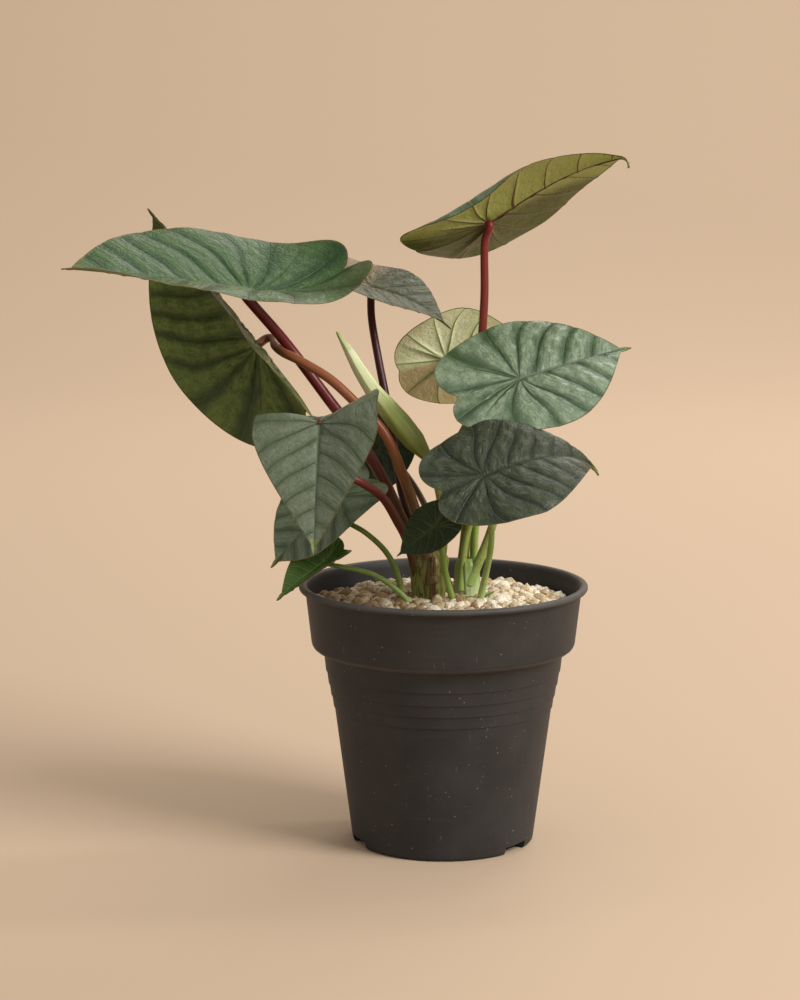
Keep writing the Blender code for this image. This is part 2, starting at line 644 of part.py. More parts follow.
def build():
    for obj in list(bpy.data.objects):
        bpy.data.objects.remove(obj, do_unlink=True)
    build_pot()
    build_mix()
    for name in BLADES:
        build_blade(name, blade_form(name), BLADE_COLOURS.get(name, (0.09, 0.16, 0.09)))
    holes = build_stems()
    build_rolled_leaf()
    build_dry_sheath()
    build_gravel(holes)


build()
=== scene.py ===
"""The looks of a potted alocasia: leaves, stems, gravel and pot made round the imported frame.

Metres, +Z up. The pot stands on z = 0 with its axis on Z, and -Y is the front.
"""

import json
import math

import bmesh
import bpy
import numpy as np
from mathutils import Matrix, Vector, noise
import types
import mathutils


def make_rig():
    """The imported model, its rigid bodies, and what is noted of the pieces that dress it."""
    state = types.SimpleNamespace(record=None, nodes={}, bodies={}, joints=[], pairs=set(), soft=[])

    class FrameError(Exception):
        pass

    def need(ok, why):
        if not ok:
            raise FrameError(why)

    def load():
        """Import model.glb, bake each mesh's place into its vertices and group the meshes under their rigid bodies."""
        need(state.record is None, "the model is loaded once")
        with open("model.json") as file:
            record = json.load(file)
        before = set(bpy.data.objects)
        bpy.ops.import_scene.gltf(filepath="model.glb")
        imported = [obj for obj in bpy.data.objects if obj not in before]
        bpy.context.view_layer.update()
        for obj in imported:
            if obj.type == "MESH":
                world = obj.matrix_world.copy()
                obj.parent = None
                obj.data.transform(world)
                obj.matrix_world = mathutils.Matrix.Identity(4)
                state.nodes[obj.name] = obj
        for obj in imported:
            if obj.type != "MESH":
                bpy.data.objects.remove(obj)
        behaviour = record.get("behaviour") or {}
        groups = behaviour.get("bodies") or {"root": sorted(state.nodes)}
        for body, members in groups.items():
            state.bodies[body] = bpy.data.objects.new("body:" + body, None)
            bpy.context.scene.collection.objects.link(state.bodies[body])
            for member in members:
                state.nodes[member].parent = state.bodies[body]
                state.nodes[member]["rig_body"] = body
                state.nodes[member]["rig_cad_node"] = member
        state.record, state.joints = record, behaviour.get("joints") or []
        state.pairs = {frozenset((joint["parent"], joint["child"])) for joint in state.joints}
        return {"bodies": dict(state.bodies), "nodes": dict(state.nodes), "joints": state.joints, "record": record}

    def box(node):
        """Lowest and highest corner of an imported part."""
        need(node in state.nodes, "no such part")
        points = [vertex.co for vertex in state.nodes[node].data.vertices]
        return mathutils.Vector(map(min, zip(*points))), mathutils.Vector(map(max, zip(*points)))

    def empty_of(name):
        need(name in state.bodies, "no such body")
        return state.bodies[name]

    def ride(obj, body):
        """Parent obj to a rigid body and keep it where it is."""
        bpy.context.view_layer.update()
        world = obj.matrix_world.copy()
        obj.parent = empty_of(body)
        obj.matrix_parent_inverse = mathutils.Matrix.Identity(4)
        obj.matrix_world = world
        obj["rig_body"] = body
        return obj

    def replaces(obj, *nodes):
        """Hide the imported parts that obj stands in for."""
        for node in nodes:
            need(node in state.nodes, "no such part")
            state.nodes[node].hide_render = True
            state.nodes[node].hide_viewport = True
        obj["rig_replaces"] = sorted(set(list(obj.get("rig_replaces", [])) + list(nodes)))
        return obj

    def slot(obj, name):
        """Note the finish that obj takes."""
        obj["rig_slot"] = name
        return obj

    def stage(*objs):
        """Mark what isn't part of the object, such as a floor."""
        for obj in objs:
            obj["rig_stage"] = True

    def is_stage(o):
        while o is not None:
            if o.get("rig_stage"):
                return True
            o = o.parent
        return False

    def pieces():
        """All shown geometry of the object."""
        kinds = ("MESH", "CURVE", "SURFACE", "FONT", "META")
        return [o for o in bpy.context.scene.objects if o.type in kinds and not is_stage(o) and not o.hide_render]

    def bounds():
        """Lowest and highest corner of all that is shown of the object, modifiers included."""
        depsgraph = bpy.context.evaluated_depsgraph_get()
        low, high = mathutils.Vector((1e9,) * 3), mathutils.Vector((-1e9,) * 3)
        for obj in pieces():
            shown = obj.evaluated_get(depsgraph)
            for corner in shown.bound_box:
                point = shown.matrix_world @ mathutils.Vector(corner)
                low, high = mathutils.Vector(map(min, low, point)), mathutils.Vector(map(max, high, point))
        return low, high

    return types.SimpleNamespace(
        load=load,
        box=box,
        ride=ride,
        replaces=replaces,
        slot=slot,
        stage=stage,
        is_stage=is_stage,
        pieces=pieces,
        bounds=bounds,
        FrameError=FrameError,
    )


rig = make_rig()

bl_info = {
    "name": "Potted Alocasia",
    "version": (1, 0, 0),
    "blender": (4, 5, 0),
    "location": "3D View > Sidebar > Alocasia",
    "description": "Makes the leaves, stems, gravel and pot of a small alocasia round its packed frame",
    "category": "Add Mesh",
}

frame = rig.load()
FRAME_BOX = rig.bounds()
MM = 0.001
MIX_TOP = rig.box("potting_mix")[1].z
POT_LOW, POT_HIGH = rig.box("pot")
RIM_RADIUS = (POT_HIGH.x - POT_LOW.x) / 2
POT_HEIGHT = POT_HIGH.z - POT_LOW.z
GRAVEL_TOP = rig.box("gravel_dressing")[1].z
GRAVEL_RADIUS = (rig.box("gravel_dressing")[1].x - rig.box("gravel_dressing")[0].x) / 2
# The scatter of gravel: the rise of its bed in the middle, the most spots on a square metre, the power that
# makes small granules commoner than large ones, the seeds of their turns, sizes and tones, and how many
# different pebbles are used
BED_CROWN = 0.0038
MOST_SPOTS = 2.0e6
SMALL_SHARE = 2.6
TURN_SEED = 3
SIZE_SEED = 11
TONE_SEED = 29
PEBBLE_KINDS = 9
# Two beds carry the granules and a third is the dust under them: how far each lies below the gravel's top
# and how far inside its edge
GRANULE_BEDS = ((0.0044, 0.0021), (0.0064, 0.0016))
DUST_BED = (0.0062, 0.0002)

# Camera: place in metres, degrees below level, focal length and sensor width in millimetres
CAMERA_PLACE = (-0.018, -1.100, 0.319)
CAMERA_TILT = 9.05
CAMERA_LENS = 96.9
CAMERA_SENSOR = 36
# Floor and backdrop in metres: front edge, half its width, where the sweep starts, its radius, the wall's top
FLOOR_FRONT = -4.0
FLOOR_SIDE = 7.0
SWEEP_START = 1.6
SWEEP_RADIUS = 2.6
WALL_TOP = 6.0
ROOM_COLOUR = (1.0, 0.95, 0.9, 1)
# Lights: place, the point each looks at, its two sides, its share of the key light's power, its colour
LIGHTS = {
    "key_light": ((1.15, -0.75, 1.05), (0, 0, 0.14), (0.75, 0.75), 1.0, (1.0, 0.97, 0.93)),
    "back_light": ((0.5, 1.4, 1.3), (0, 0, 0.14), (0.9, 0.9), 0.25, (1.0, 0.98, 0.95)),
    "wall_light": ((0.9, 0.9, 2.6), (0.3, 3.8, 1.1), (2.4, 0.8), 2.3, (1.0, 0.98, 0.95)),
}

# Blades, in millimetres above the potting mix and degrees. "at" is where the petiole meets the blade, and
# az, pitch and roll turn it. fore and aft are the lengths towards the tip and the rear lobes. wide is where
# it is broadest, ovate and acute shape its sides, drip is its narrow tip and lobe the roundness behind. arch
# lowers the tip and arch_aft raises the rear, bend says how late, kink bends the rear at the petiole, droop
# lowers the drip tip and twist_aft turns the lobes. fold, curl and hem raise the left and the right half at
# the midrib, on the way out and at the margin. vein_gap, quilt, wrinkle and ripple are the veins' spacing and
# the relief.
BLADES = {
    "upper_left": dict(
        at=(-80, 4, 134), az=205, pitch=11, roll=-8, fore=81, aft=52, width=82, wide=0.12, ovate=2.3,
        arch=4, arch_aft=-52, fold=(18, 34), curl=(-16, -8), fold_aft=0.6, droop=10,
        hem=(-22, -10), vein_gap=16.5, quilt=0.8, wrinkle=0.12, phase=0.3, gloss=0.5,
        acute=0.95, drip=0.055,
    ),
    "hanging_left": dict(
        at=(-79, 26, 109), az=159, pitch=49, roll=-124, fore=75, aft=42, width=74,
        fold=(50, 38), fold_tip=1.0, drip=0.05, acute=1.0,
        vein_gap=12.0, quilt=0.8, wrinkle=0.45, phase=0.1, gloss=0.7,
    ),
    "upper_middle": dict(
        at=(-30, 42, 133), az=-20, pitch=-10, roll=10, fore=40, aft=34, width=46,
        arch=36, arch_aft=-16, fold=(8, 24), curl=(0, -24), gloss=0.2,
    ),
    "upper_right": dict(
        at=(18, 15, 162), az=-12, pitch=34, roll=-30, fore=70, aft=36, width=60, bend=2.0,
        arch=36, arch_aft=-30, twist_aft=3, lobe=0.24, fold=(8, 14), curl=(0, -36), droop=90,
        hem=(0, -75), vein_gap=15.5, quilt=0.2, wrinkle=0.1, phase=0.2,
    ),
    "round_middle": dict(
        at=(2, 52, 101), az=5, pitch=14, roll=-66, fore=38, aft=22, width=47, wide=0.2,
        arch=10, fold=(0, 10), curl=(0, -20), lobe=0.2,
        vein_gap=14.0, quilt=0.3, wrinkle=0.06, phase=0.45,
    ),
    "right": dict(
        at=(31, -10, 100), az=16, pitch=15, roll=38, fore=50, aft=33, width=60, wide=0.12, ovate=2.3,
        arch=6, fold=(10, 10), curl=(-16, -20),
        vein_gap=13.0, quilt=0.9, wrinkle=0.25, phase=0.15, gloss=4.5,
    ),
    "lower_right": dict(
        at=(15, -56, 67), az=14, pitch=20, roll=37, fore=61, aft=23, width=56, wide=0.18, bend=1.5,
        arch=76, fold=(12, 12), curl=(-30, -24), drip=0.12, acute=1.4, ovate=1.8,
        vein_gap=10.0, quilt=0.7, wrinkle=0.34, phase=0.6,
    ),
    "front_left": dict(
        at=(-50, -48, 86), az=-95, pitch=-62, roll=8, fore=54, aft=26, width=53, ovate=1.4, drip=0.04,
        arch=6, kink=70, twist_aft=16, fold=(24, 20), curl=(-10, -20),
        vein_gap=9.5, quilt=0.36, wrinkle=0.14, phase=0.35,
    ),
    "lower_left": dict(
        at=(-46, -6, 49), az=190, pitch=-44, roll=-34, fore=38, aft=22, width=42, ovate=2.8,
        arch=10, arch_aft=50, fold=(10, 10),
    ),
    "small_left": dict(
        at=(-48, -12, 25), az=200, pitch=-28, roll=-25, fore=27, aft=10, width=22, arch=20,
        fold=(48, 48), fold_tip=1.0,
    ),
    "small_front": dict(
        at=(-4, -32, 42), az=180, pitch=-35, roll=-50, fore=20, aft=11, width=22, arch=10, fold=(10, 10),
    ),
    "back_left": dict(
        at=(-28, 34, 65), az=180, pitch=-50, roll=-60, fore=34, aft=16, width=36, arch=10,
    ),
    "back_right": dict(
        at=(21, 2, 78), az=180, pitch=-10, roll=-60, fore=18, aft=10, width=22, arch=10,
    ),
}
BLADE_FORM = dict(
    wide=0.08, lobe=0.34, ovate=2.0, acute=1.15, drip=0.1, arch=0, arch_aft=0, bend=1.2, kink=0, droop=0,
    fold=(0, 0), curl=(0, 0), hem=(0, 0), fold_tip=0.6, fold_aft=1.0, twist_aft=0,
    vein_gap=9.0, quilt=0.34, wrinkle=0.16, ripple=0.5, phase=0.0, gloss=1.0,
)
# Blades narrower than this, in millimetres, have a coarser mesh and finer veins
SMALL_BLADE = 30
SMALL_FORM = dict(vein_gap=4.5, quilt=0.35, ripple=0.25)
# Veins: how far a lateral leans towards the tip and sweeps round, the angle between those of the rear fan,
# where that fan starts, the rear rib's angle, the share of a gap that the left side is shifted by, and the
# wobble in millimetres
VEIN_LEAN = 0.5
VEIN_SWEEP = 0.7
VEIN_FAN = math.radians(31)
VEIN_FIRST = math.atan2(1, VEIN_LEAN)
RIB_ANGLE = math.radians(148)
VEIN_LEFT_SHIFT = 0.4
VEIN_WOBBLE = 1.8
# Relief in millimetres: what sinks on the face along the veins, and what stands out under them
GROOVE_DEPTH = 0.16
MIDRIB_DEPTH = 0.7
REAR_RIB_DEPTH = 0.4
MIDRIB_RIDGE = 1.1
REAR_RIDGE = 0.8
LATERAL_RIDGE = 0.35

# Finishes of each blade: face, face beside the veins, vein, margin, tip; then the same for its underside
FINISHES = {
    "upper_left": ((62, 90, 46), (28, 60, 22), (40, 74, 30), (92, 82, 46), (104, 104, 54)),
    "hanging_left": ((104, 120, 54), (54, 68, 24), (66, 82, 30), (70, 62, 34), (70, 80, 40)),
    "upper_middle": ((72, 78, 48), (48, 58, 32), (92, 92, 62), (110, 80, 60), (84, 108, 98)),
    "upper_right": ((104, 124, 100), (76, 96, 66), (110, 120, 80), (64, 48, 30), (150, 160, 90)),
    "round_middle": ((110, 130, 84), (92, 112, 64), (120, 140, 84), (66, 58, 34), (120, 130, 70)),
    "right": ((126, 143, 118), (54, 78, 48), (54, 78, 48), (86, 84, 58), (120, 132, 92)),
    "lower_right": ((58, 66, 46), (30, 38, 22), (32, 42, 22), (66, 62, 42), (146, 160, 92)),
    "front_left": ((106, 116, 98), (82, 94, 72), (66, 80, 54), (86, 76, 52), (128, 146, 76)),
    "lower_left": ((108, 120, 98), (68, 84, 60), (62, 82, 52), (112, 104, 52), (130, 132, 60)),
    "small_left": ((84, 116, 52), (60, 96, 38), (110, 140, 70), (96, 104, 52), (120, 140, 64)),
    "small_front": ((44, 60, 28), (30, 46, 18), (70, 88, 42), (60, 60, 34), (64, 80, 36)),
    "back_left": ((48, 62, 36), (34, 50, 26), (66, 80, 44), (58, 52, 34), (60, 72, 40)),
    "back_right": ((120, 128, 52), (96, 108, 40), (140, 148, 80), (96, 90, 44), (130, 136, 60)),
}
UNDERSIDES = {
    "upper_right": ((72, 78, 26), (86, 92, 38), (70, 44, 26), (60, 42, 28), (150, 160, 90)),
    # round_middle's underside is pale partly in its own right and partly as painted light: its colours are raised to
    # stand for the key light shining through the blade
    "round_middle": ((196, 198, 168), (206, 210, 176), (112, 132, 70), (64, 56, 34), (140, 140, 80)),
    "hanging_left": ((62, 74, 30), (76, 88, 38), (130, 132, 78), (80, 70, 40), (96, 96, 50)),
}
# Patches of another colour: the colour, its pull along and across the blade, and where it starts and ends
PATCHES = {
    "upper_middle_face": ((132, 104, 74), -1, 0, -4, 12),
    # Painted shadow: the tan over the left, lower half of this underside stands for the shade that the blade "right"
    # casts on it
    "round_middle_underside": ((170, 150, 112), 0, 1, -2, 2),
    "upper_right_underside": ((158, 162, 92), 0.3, -1, -4, 7),
}
UNDERSIDE_SHEEN = 0.05
UNDERSIDE = ((104, 110, 58), (122, 128, 74), (96, 80, 48), (72, 60, 36), (130, 140, 72))

# Petioles: radius at the foot and at the blade in millimetres, the points from the foot up,
# and the colours at the foot, half way and at the blade
PETIOLES = {
    "upper_left": (2.6, 2.1, [
        (-11, 3, 22), (-14, 5, 32), (-18, 7, 40), (-26, 9, 57), (-36, 11, 73), (-47, 14, 87),
        (-59, 16, 103), (-68, 13, 115)], ((92, 70, 36), (96, 30, 26), (104, 26, 30))),
    "hanging_left": (2.4, 1.8, [
        (-6, -6, 22), (-8, -5, 32), (-11, -4, 42), (-16, -2, 56), (-24, -1, 75), (-36, 0, 88),
        (-47, 2, 98), (-59, 5, 105), (-66, 9, 108), (-70, 18, 110), (-71, 26, 112), (-74, 29, 112)],
        ((106, 86, 40), (120, 64, 34), (150, 96, 66))),
    "upper_middle": (2.0, 1.6, [
        (-6, 5, 22), (-8, 7, 30), (-15, 11, 42), (-19, 17, 58), (-23, 26, 82), (-27, 34, 102),
        (-30, 40, 119)], ((76, 58, 34), (56, 20, 26), (70, 26, 32))),
    "upper_right": (2.2, 1.6, [
        (8, 5, 18), (9, 6, 28), (10, 8, 38), (13, 14, 63), (15, 17, 96), (17, 17, 129), (17, 16, 152)],
        ((140, 150, 74), (108, 44, 36), (112, 36, 34))),
    "round_middle": (1.7, 1.3, [
        (13, 6, 18), (13, 8, 28), (14, 11, 40), (14, 17, 55), (12, 26, 74), (7, 42, 93)],
        ((150, 170, 90), (140, 156, 70), (156, 170, 84))),
    "right": (1.8, 1.4, [
        (13, 0, 18), (16, 0, 25), (20, 0, 36), (23, -1, 48), (27, -5, 69), (29, -10, 87)],
        ((150, 172, 96), (126, 112, 60), (120, 96, 58))),
    "lower_right": (1.4, 1.1, [
        (15, -7, -4), (15, -8, 6), (17, -13, 18), (19, -25, 34), (18, -42, 53)],
        ((170, 190, 120), (136, 164, 84), (130, 156, 78))),
    "front_left": (2.0, 1.5, [
        (-12, -5, 22), (-15, -8, 32), (-19, -14, 41), (-25, -21, 52), (-33, -28, 59), (-40, -32, 63),
        (-46, -40, 69)], ((92, 70, 36), (88, 30, 28), (96, 38, 34))),
    "lower_left": (1.3, 1.0, [
        (-16, -6, -4), (-17, -7, 6), (-19, -8, 18), (-24, -10, 28), (-32, -12, 36), (-41, -8, 41)],
        ((140, 158, 84), (112, 130, 62), (104, 124, 60))),
    "small_left": (1.2, 0.9, [
        (-12, -11, -4), (-14, -12, 6), (-20, -13, 13), (-29, -14, 19), (-40, -14, 22)],
        ((160, 180, 108), (140, 166, 84), (128, 156, 76))),
    "small_front": (1.3, 1.0, [
        (4, -9, -4), (4, -10, 6), (1, -14, 18), (-1, -23, 31)],
        ((160, 184, 104), (132, 160, 76), (110, 140, 64))),
    "back_left": (1.6, 1.2, [
        (-1, 5, 22), (-4, 12, 34), (-10, 28, 46), (-19, 41, 57)],
        ((104, 84, 50), (96, 60, 44), (90, 58, 40))),
    "back_right": (1.3, 1.0, [
        (8, 0, 18), (9, 1, 28), (12, 3, 40), (17, 4, 60)],
        ((150, 170, 90), (140, 150, 66), (140, 150, 66))),
}
# How much further a petiole reaches into its crown, as a share of its first span, how far under its blade's
# face its last two points lie, in millimetres, and the length of each step of a stem, in metres
SUNK_IN_CROWN = 0.8
BLADE_GAPS = (3.0, 1.7)
STEM_SPACING = 0.0009
SHOOT_SPACING = 0.0005
# Crowns: centre, (height, radius across, radius deep) rows, the angles of the lapped leaf bases, the weight
# of the marbling, and the colours at the foot and at the top
CROWNS = {
    "main": (
        (-6, -1), [(-2, 7.0, 6.6), (8, 6.8, 6.6), (16, 7.4, 7.4), (22, 8.2, 8.2), (27, 7.0, 7.0)],
        (0.4, 1.9, 3.3, 4.4, 5.6), 0.75, ((142, 154, 80), (128, 122, 58))),
    "offset": (
        (10, 3), [(-2, 6.0, 5.4), (8, 5.4, 5.0), (16, 5.2, 5.0), (23, 4.8, 4.6)],
        (0.9, 2.7, 4.6), 0.2, ((206, 216, 174), (132, 154, 76))),
}
# The rolled leaf: its line and radii, the line of its stem, and the angle in radians at which its free edge
# starts, with the share of a turn that the edge winds from foot to tip
ROLL_PATH = [
    (-7, 0, 66), (-12, 2, 72), (-18, 4, 79), (-24, 6, 86), (-29, 8, 92), (-35, 10, 101), (-39, 11, 108),
    (-44, 12, 116)]
ROLL_RADII = (2.4, 4.6, 5.0, 4.4, 3.6, 2.9, 2.2, 0.6)
ROLL_STEM = [(-1, -1, 22), (0, -2, 34), (-1, -2, 48), (-4, -1, 60), (-8, 0, 67)]
ROLL_START = 3.9
ROLL_WIND = 0.12
# The dry sheath: its arc in degrees, its lowest and highest point, and the height at which it is narrowest
SHEATH_ARC = (-90, -68)
SHEATH_SPAN = (0.3, 25.5)
SHEATH_FULL = 26
SPROUTS = {
    "left_sprout": [(6, -7, -4), (6, -8, 5), (8, -9, 8), (12, -10, 9)],
    "right_sprout": [(17, -2, -4), (17, -2, 5), (18, -3, 8), (21, -4, 10)],
}


# Colours and shader maths

def srgb(red, green, blue):
    """A linear colour from 0-255 display values."""
    shares = [value / 255 for value in (red, green, blue)]
    return (*(c / 12.92 if c <= 0.04045 else ((c + 0.055) / 1.055) ** 2.4 for c in shares), 1.0)


def arithmetic(operation, reflected=False):
    """A method that adds a Math node of two values, which the reflected form swaps."""
    def method(self, other):
        pair = (other, self) if reflected else (self, other)
        return self.tree.node("ShaderNodeMath", {"operation": operation}, dict(enumerate(pair)))
    return method


class Wire:
    """One output socket of a node. Arithmetic on it adds Math nodes."""

    __add__ = arithmetic("ADD")
    __radd__ = arithmetic("ADD", reflected=True)
    __sub__ = arithmetic("SUBTRACT")
    __rsub__ = arithmetic("SUBTRACT", reflected=True)
    __mul__ = arithmetic("MULTIPLY")
    __rmul__ = arithmetic("MULTIPLY", reflected=True)
    __truediv__ = arithmetic("DIVIDE")
    __rtruediv__ = arithmetic("DIVIDE", reflected=True)
    __pow__ = arithmetic("POWER")
    __gt__ = arithmetic("GREATER_THAN")

    def __init__(self, tree, socket):
        self.tree = tree
        self.socket = socket

    def math(self, operation, *others):
        """The named operation on this value and the others."""
        return self.tree.node("ShaderNodeMath", {"operation": operation}, dict(enumerate((self, *others))))

    def __abs__(self):
        return self.math("ABSOLUTE")

    def step(self, low, high):
        """0 below low, 1 above high, smooth between them; high may be the smaller."""
        settings = {"interpolation_type": "SMOOTHSTEP"}
        if low < high:
            return self.tree.node("ShaderNodeMapRange", settings, {0: self, 1: low, 2: high})
        return self.tree.node("ShaderNodeMapRange", settings, {0: self, 1: high, 2: low, 3: 1.0, 4: 0.0})


class Tree:
    """A node tree, with one method that adds any node: its settings first, then its inputs."""

    def __init__(self, tree):
        self.tree = tree

    def node(self, kind, settings=None, values=None, out=0):
        made = self.tree.nodes.new(kind)
        for key, value in (settings or {}).items():
            if key == "stops":
                ramp = made.color_ramp
                while len(ramp.elements) < len(value):
                    ramp.elements.new(0.5)
                for element, (place, colour) in zip(ramp.elements, value):
                    element.position = place
                    element.color = colour
            else:
                setattr(made, key, value)
        for key, value in (values or {}).items():
            if isinstance(value, Wire):
                self.tree.links.new(value.socket, made.inputs[key])
            else:
                made.inputs[key].default_value = value
        return Wire(self, made.outputs[out]) if made.outputs else None


class Growth(Tree):
    """A Geometry Nodes tree with named inputs and one geometry output."""

    def __init__(self, name, inputs, output):
        super().__init__(bpy.data.node_groups.new(name, "GeometryNodeTree"))
        self.tree.is_modifier = True
        for label, kind in inputs.items():
            self.tree.interface.new_socket(label, in_out="INPUT", socket_type="NodeSocket" + kind)
        self.tree.interface.new_socket(output, in_out="OUTPUT", socket_type="NodeSocketGeometry")

    def given(self, label):
        return self.node("NodeGroupInput", out=label)

    def store(self, geometry, name, value, domain="POINT"):
        settings = {"data_type": "FLOAT", "domain": domain}
        values = {"Geometry": geometry, "Name": name, "Value": value}
        return self.node("GeometryNodeStoreNamedAttribute", settings, values)

    def random(self, seed, out, kind="FLOAT", **limits):
        return self.node("FunctionNodeRandomValue", {"data_type": kind}, {"Seed": seed, **limits}, out)

    def close(self, geometry):
        """Makes the instances real, sets the finish and gives the result out."""
        whole = self.node("GeometryNodeRealizeInstances", values={"Geometry": geometry})
        values = {"Geometry": whole, "Material": self.given("Finish")}
        self.node("NodeGroupOutput", values={0: self.node("GeometryNodeSetMaterial", values=values)})
        return self.tree


class Paint(Tree):
    def __init__(self, name):
        self.material = bpy.data.materials.new(name)
        self.material.use_nodes = True
        super().__init__(self.material.node_tree)
        self.tree.nodes.clear()

    def place(self):
        """Object coordinates."""
        return self.node("ShaderNodeTexCoord", out=3)

    def attribute(self, name, out=2):
        return self.node("ShaderNodeAttribute", {"attribute_name": name}, out=out)

    def parts(self, vector):
        """The x, y and z of a vector."""
        return [self.node("ShaderNodeSeparateXYZ", values={0: vector}, out=k) for k in range(3)]

    def noise(self, vector, scale, detail=3.0, roughness=0.55):
        values = {"Vector": vector, "Scale": scale, "Detail": detail, "Roughness": roughness}
        return self.node("ShaderNodeTexNoise", values=values)

    def cells(self, vector, scale, feature="DISTANCE_TO_EDGE"):
        return self.node("ShaderNodeTexVoronoi", {"feature": feature}, {"Vector": vector, "Scale": scale})

    def stretched(self, vector, x, y, z):
        """A vector scaled along each axis."""
        return self.node("ShaderNodeVectorMath", {"operation": "MULTIPLY"}, {0: vector, 1: (x, y, z)})

    def mix(self, share, first, second):
        """The first colour where share is 0, the second where it is 1."""
        return self.node("ShaderNodeMix", {"data_type": "RGBA"}, {0: share, 6: first, 7: second}, out=2)

    def ramp(self, value, *stops):
        return self.node("ShaderNodeValToRGB", {"stops": stops}, {0: value})

    def bump(self, height, strength, distance):
        values = {"Height": height, "Strength": strength, "Distance": distance}
        return self.node("ShaderNodeBump", values=values)

    def finish(self, colour, roughness, normal=None, **fixed):
        """The surface: what varies over it is wired, and what is the same all over is set on its socket."""
        values = {"Base Color": colour, "Roughness": roughness}
        if normal is not None:
            values["Normal"] = normal
        for key, value in fixed.items():
            values[key.replace("_", " ")] = value
        surface = self.node("ShaderNodeBsdfPrincipled", values=values)
        self.node("ShaderNodeOutputMaterial", values={0: surface})
        return self.material


# Mesh helpers

def plant_point(points):
    """Millimetres above the mix to metres above the floor."""
    return np.asarray(points, float) * MM + np.array([0, 0, MIX_TOP])


def mesh_object(name, points, faces, materials, indices=None, sharp=50):
    """A smooth-shaded object at the origin, with edges sharper than the given degrees kept."""
    mesh = bpy.data.meshes.new(name)
    mesh.from_pydata(np.asarray(points, float).tolist(), [], [tuple(face) for face in faces])
    for material in materials:
        mesh.materials.append(material)
    if indices is not None:
        mesh.polygons.foreach_set("material_index", np.asarray(indices, np.int32))
    mesh.shade_smooth()
    mesh.set_sharp_from_angle(angle=math.radians(sharp))
    mesh.update()
    obj = bpy.data.objects.new(name, mesh)
    bpy.context.scene.collection.objects.link(obj)
    return obj


def point_attribute(obj, name, values):
    """Stores a number or a vector on every point."""
    values = np.asarray(values, np.float32)
    kind, key = ("FLOAT", "value") if values.ndim == 1 else ("FLOAT_VECTOR", "vector")
    attribute = obj.data.attributes.new(name, kind, "POINT")
    attribute.data.foreach_set(key, values.ravel())


def grown(obj, slot, *nodes):
    """Hands a finished piece to the frame in place of the nodes that it stands for."""
    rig.ride(obj, "root")
    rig.slot(obj, slot)
    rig.replaces(obj, *nodes)


def slot_of(node):
    """The material slot that the record gives a node."""
    return next(row["material_slot"] for row in frame["record"]["subparts"] if row["node"] == node)


def rings_to_faces(rows, count):
    """Faces of a body of rows rings, each of count points, with two more points that close its ends."""
    faces = []
    for k in range(rows - 1):
        for j in range(count):
            a, b = k * count + j, k * count + (j + 1) % count
            faces.append((a, b, b + count, a + count))
    last = (rows - 1) * count
    for j in range(count):
        after = (j + 1) % count
        faces.append((after, j, rows * count))
        faces.append((last + j, last + after, rows * count + 1))
    return faces


def smooth_path(points, steps):
    """A smooth curve through the points, sampled steps times in each span."""
    P = np.asarray(points, float)
    P = np.concatenate([[2 * P[0] - P[1]], P, [2 * P[-1] - P[-2]]])
    found = []
    for a, b, c, d in zip(P[:-3], P[1:-2], P[2:-1], P[3:]):
        for t in np.arange(steps) / steps:
            found.append(0.5 * (2 * b + (c - a) * t + (2 * a - 5 * b + 4 * c - d) * t ** 2
                                + (3 * b - a - 3 * c + d) * t ** 3))
    found.append(P[-2])
    return np.array(found)


def lengths_along(path):
    """How far along the path each of its points lies."""
    return np.concatenate([[0], np.cumsum(np.linalg.norm(np.diff(path, axis=0), axis=1))])


def smoothstep(low, high, value):
    t = np.clip((value - low) / (high - low), 0, 1)
    return t * t * (3 - 2 * t)


def bell(value, width):
    """1 at a value of 0, and next to nothing from twice the width on."""
    return np.exp(-(value / width) ** 2)


def oval(x, y, wide, deep, turns, height):
    """Points at the given angles of an oval round (x, y)."""
    return np.stack([x + wide * np.cos(turns), y + deep * np.sin(turns), height + 0 * turns], -1)


def closed_ring(count):
    """The angle of each of count points round a circle."""
    return np.arange(count) * 2 * math.pi / count


def band(first, second, count):
    """Faces between two closed loops of count points, from the number of each loop's first point."""
    after = [*range(1, count), 0]
    return [(first + j, second + j, second + k, first + k) for j, k in enumerate(after)]


def ringed_object(name, rings, ends, material):
    """A closed body through the rings of points, with a point at each end and its faces turned outwards."""
    faces = rings_to_faces(len(rings), len(rings[0]))
    obj = mesh_object(name, np.concatenate([*rings, ends]), faces, [material])
    bm = bmesh.new()
    bm.from_mesh(obj.data)
    bmesh.ops.recalc_face_normals(bm, faces=bm.faces)
    bm.to_mesh(obj.data)
    bm.free()
    return obj


# Blades

def half_outline(form, fine, round_steps):
    """(along, across) of half a blade's edge, from the tip to the notch between the rear lobes."""
    half = form["width"] / 2
    wide = form["wide"] * form["fore"]
    lobe = form["lobe"] * half
    step = np.linspace(0, 1, fine)
    reach = 1 - step ** 1.6
    along = wide + (form["fore"] - wide) * reach
    body = np.minimum(1, reach / (1 - form["drip"]))
    across = half * (1 - body ** form["ovate"]) ** form["acute"]
    across = np.maximum(across, 0.8 * np.minimum(1, (1 - reach) * form["fore"] / 3))
    turn = np.linspace(0, math.pi - math.acos(lobe / (half - lobe)), round_steps)[1:]
    rear = wide - (form["aft"] + wide) * np.sin(turn)
    inward = lobe + (half - lobe) * np.cos(turn)
    inward[-1] = 0
    return np.concatenate([along, rear]), np.concatenate([across, inward])


def turning(form):
    """The blade's turn: rolled about its length, pitched up, then turned about the plant."""
    az, pitch, roll = (math.radians(form[key]) for key in ("az", "pitch", "roll"))
    turn = Matrix.Rotation(az, 3, "Z") @ Matrix.Rotation(-pitch, 3, "Y") @ Matrix.Rotation(roll, 3, "X")
    return np.array(turn)


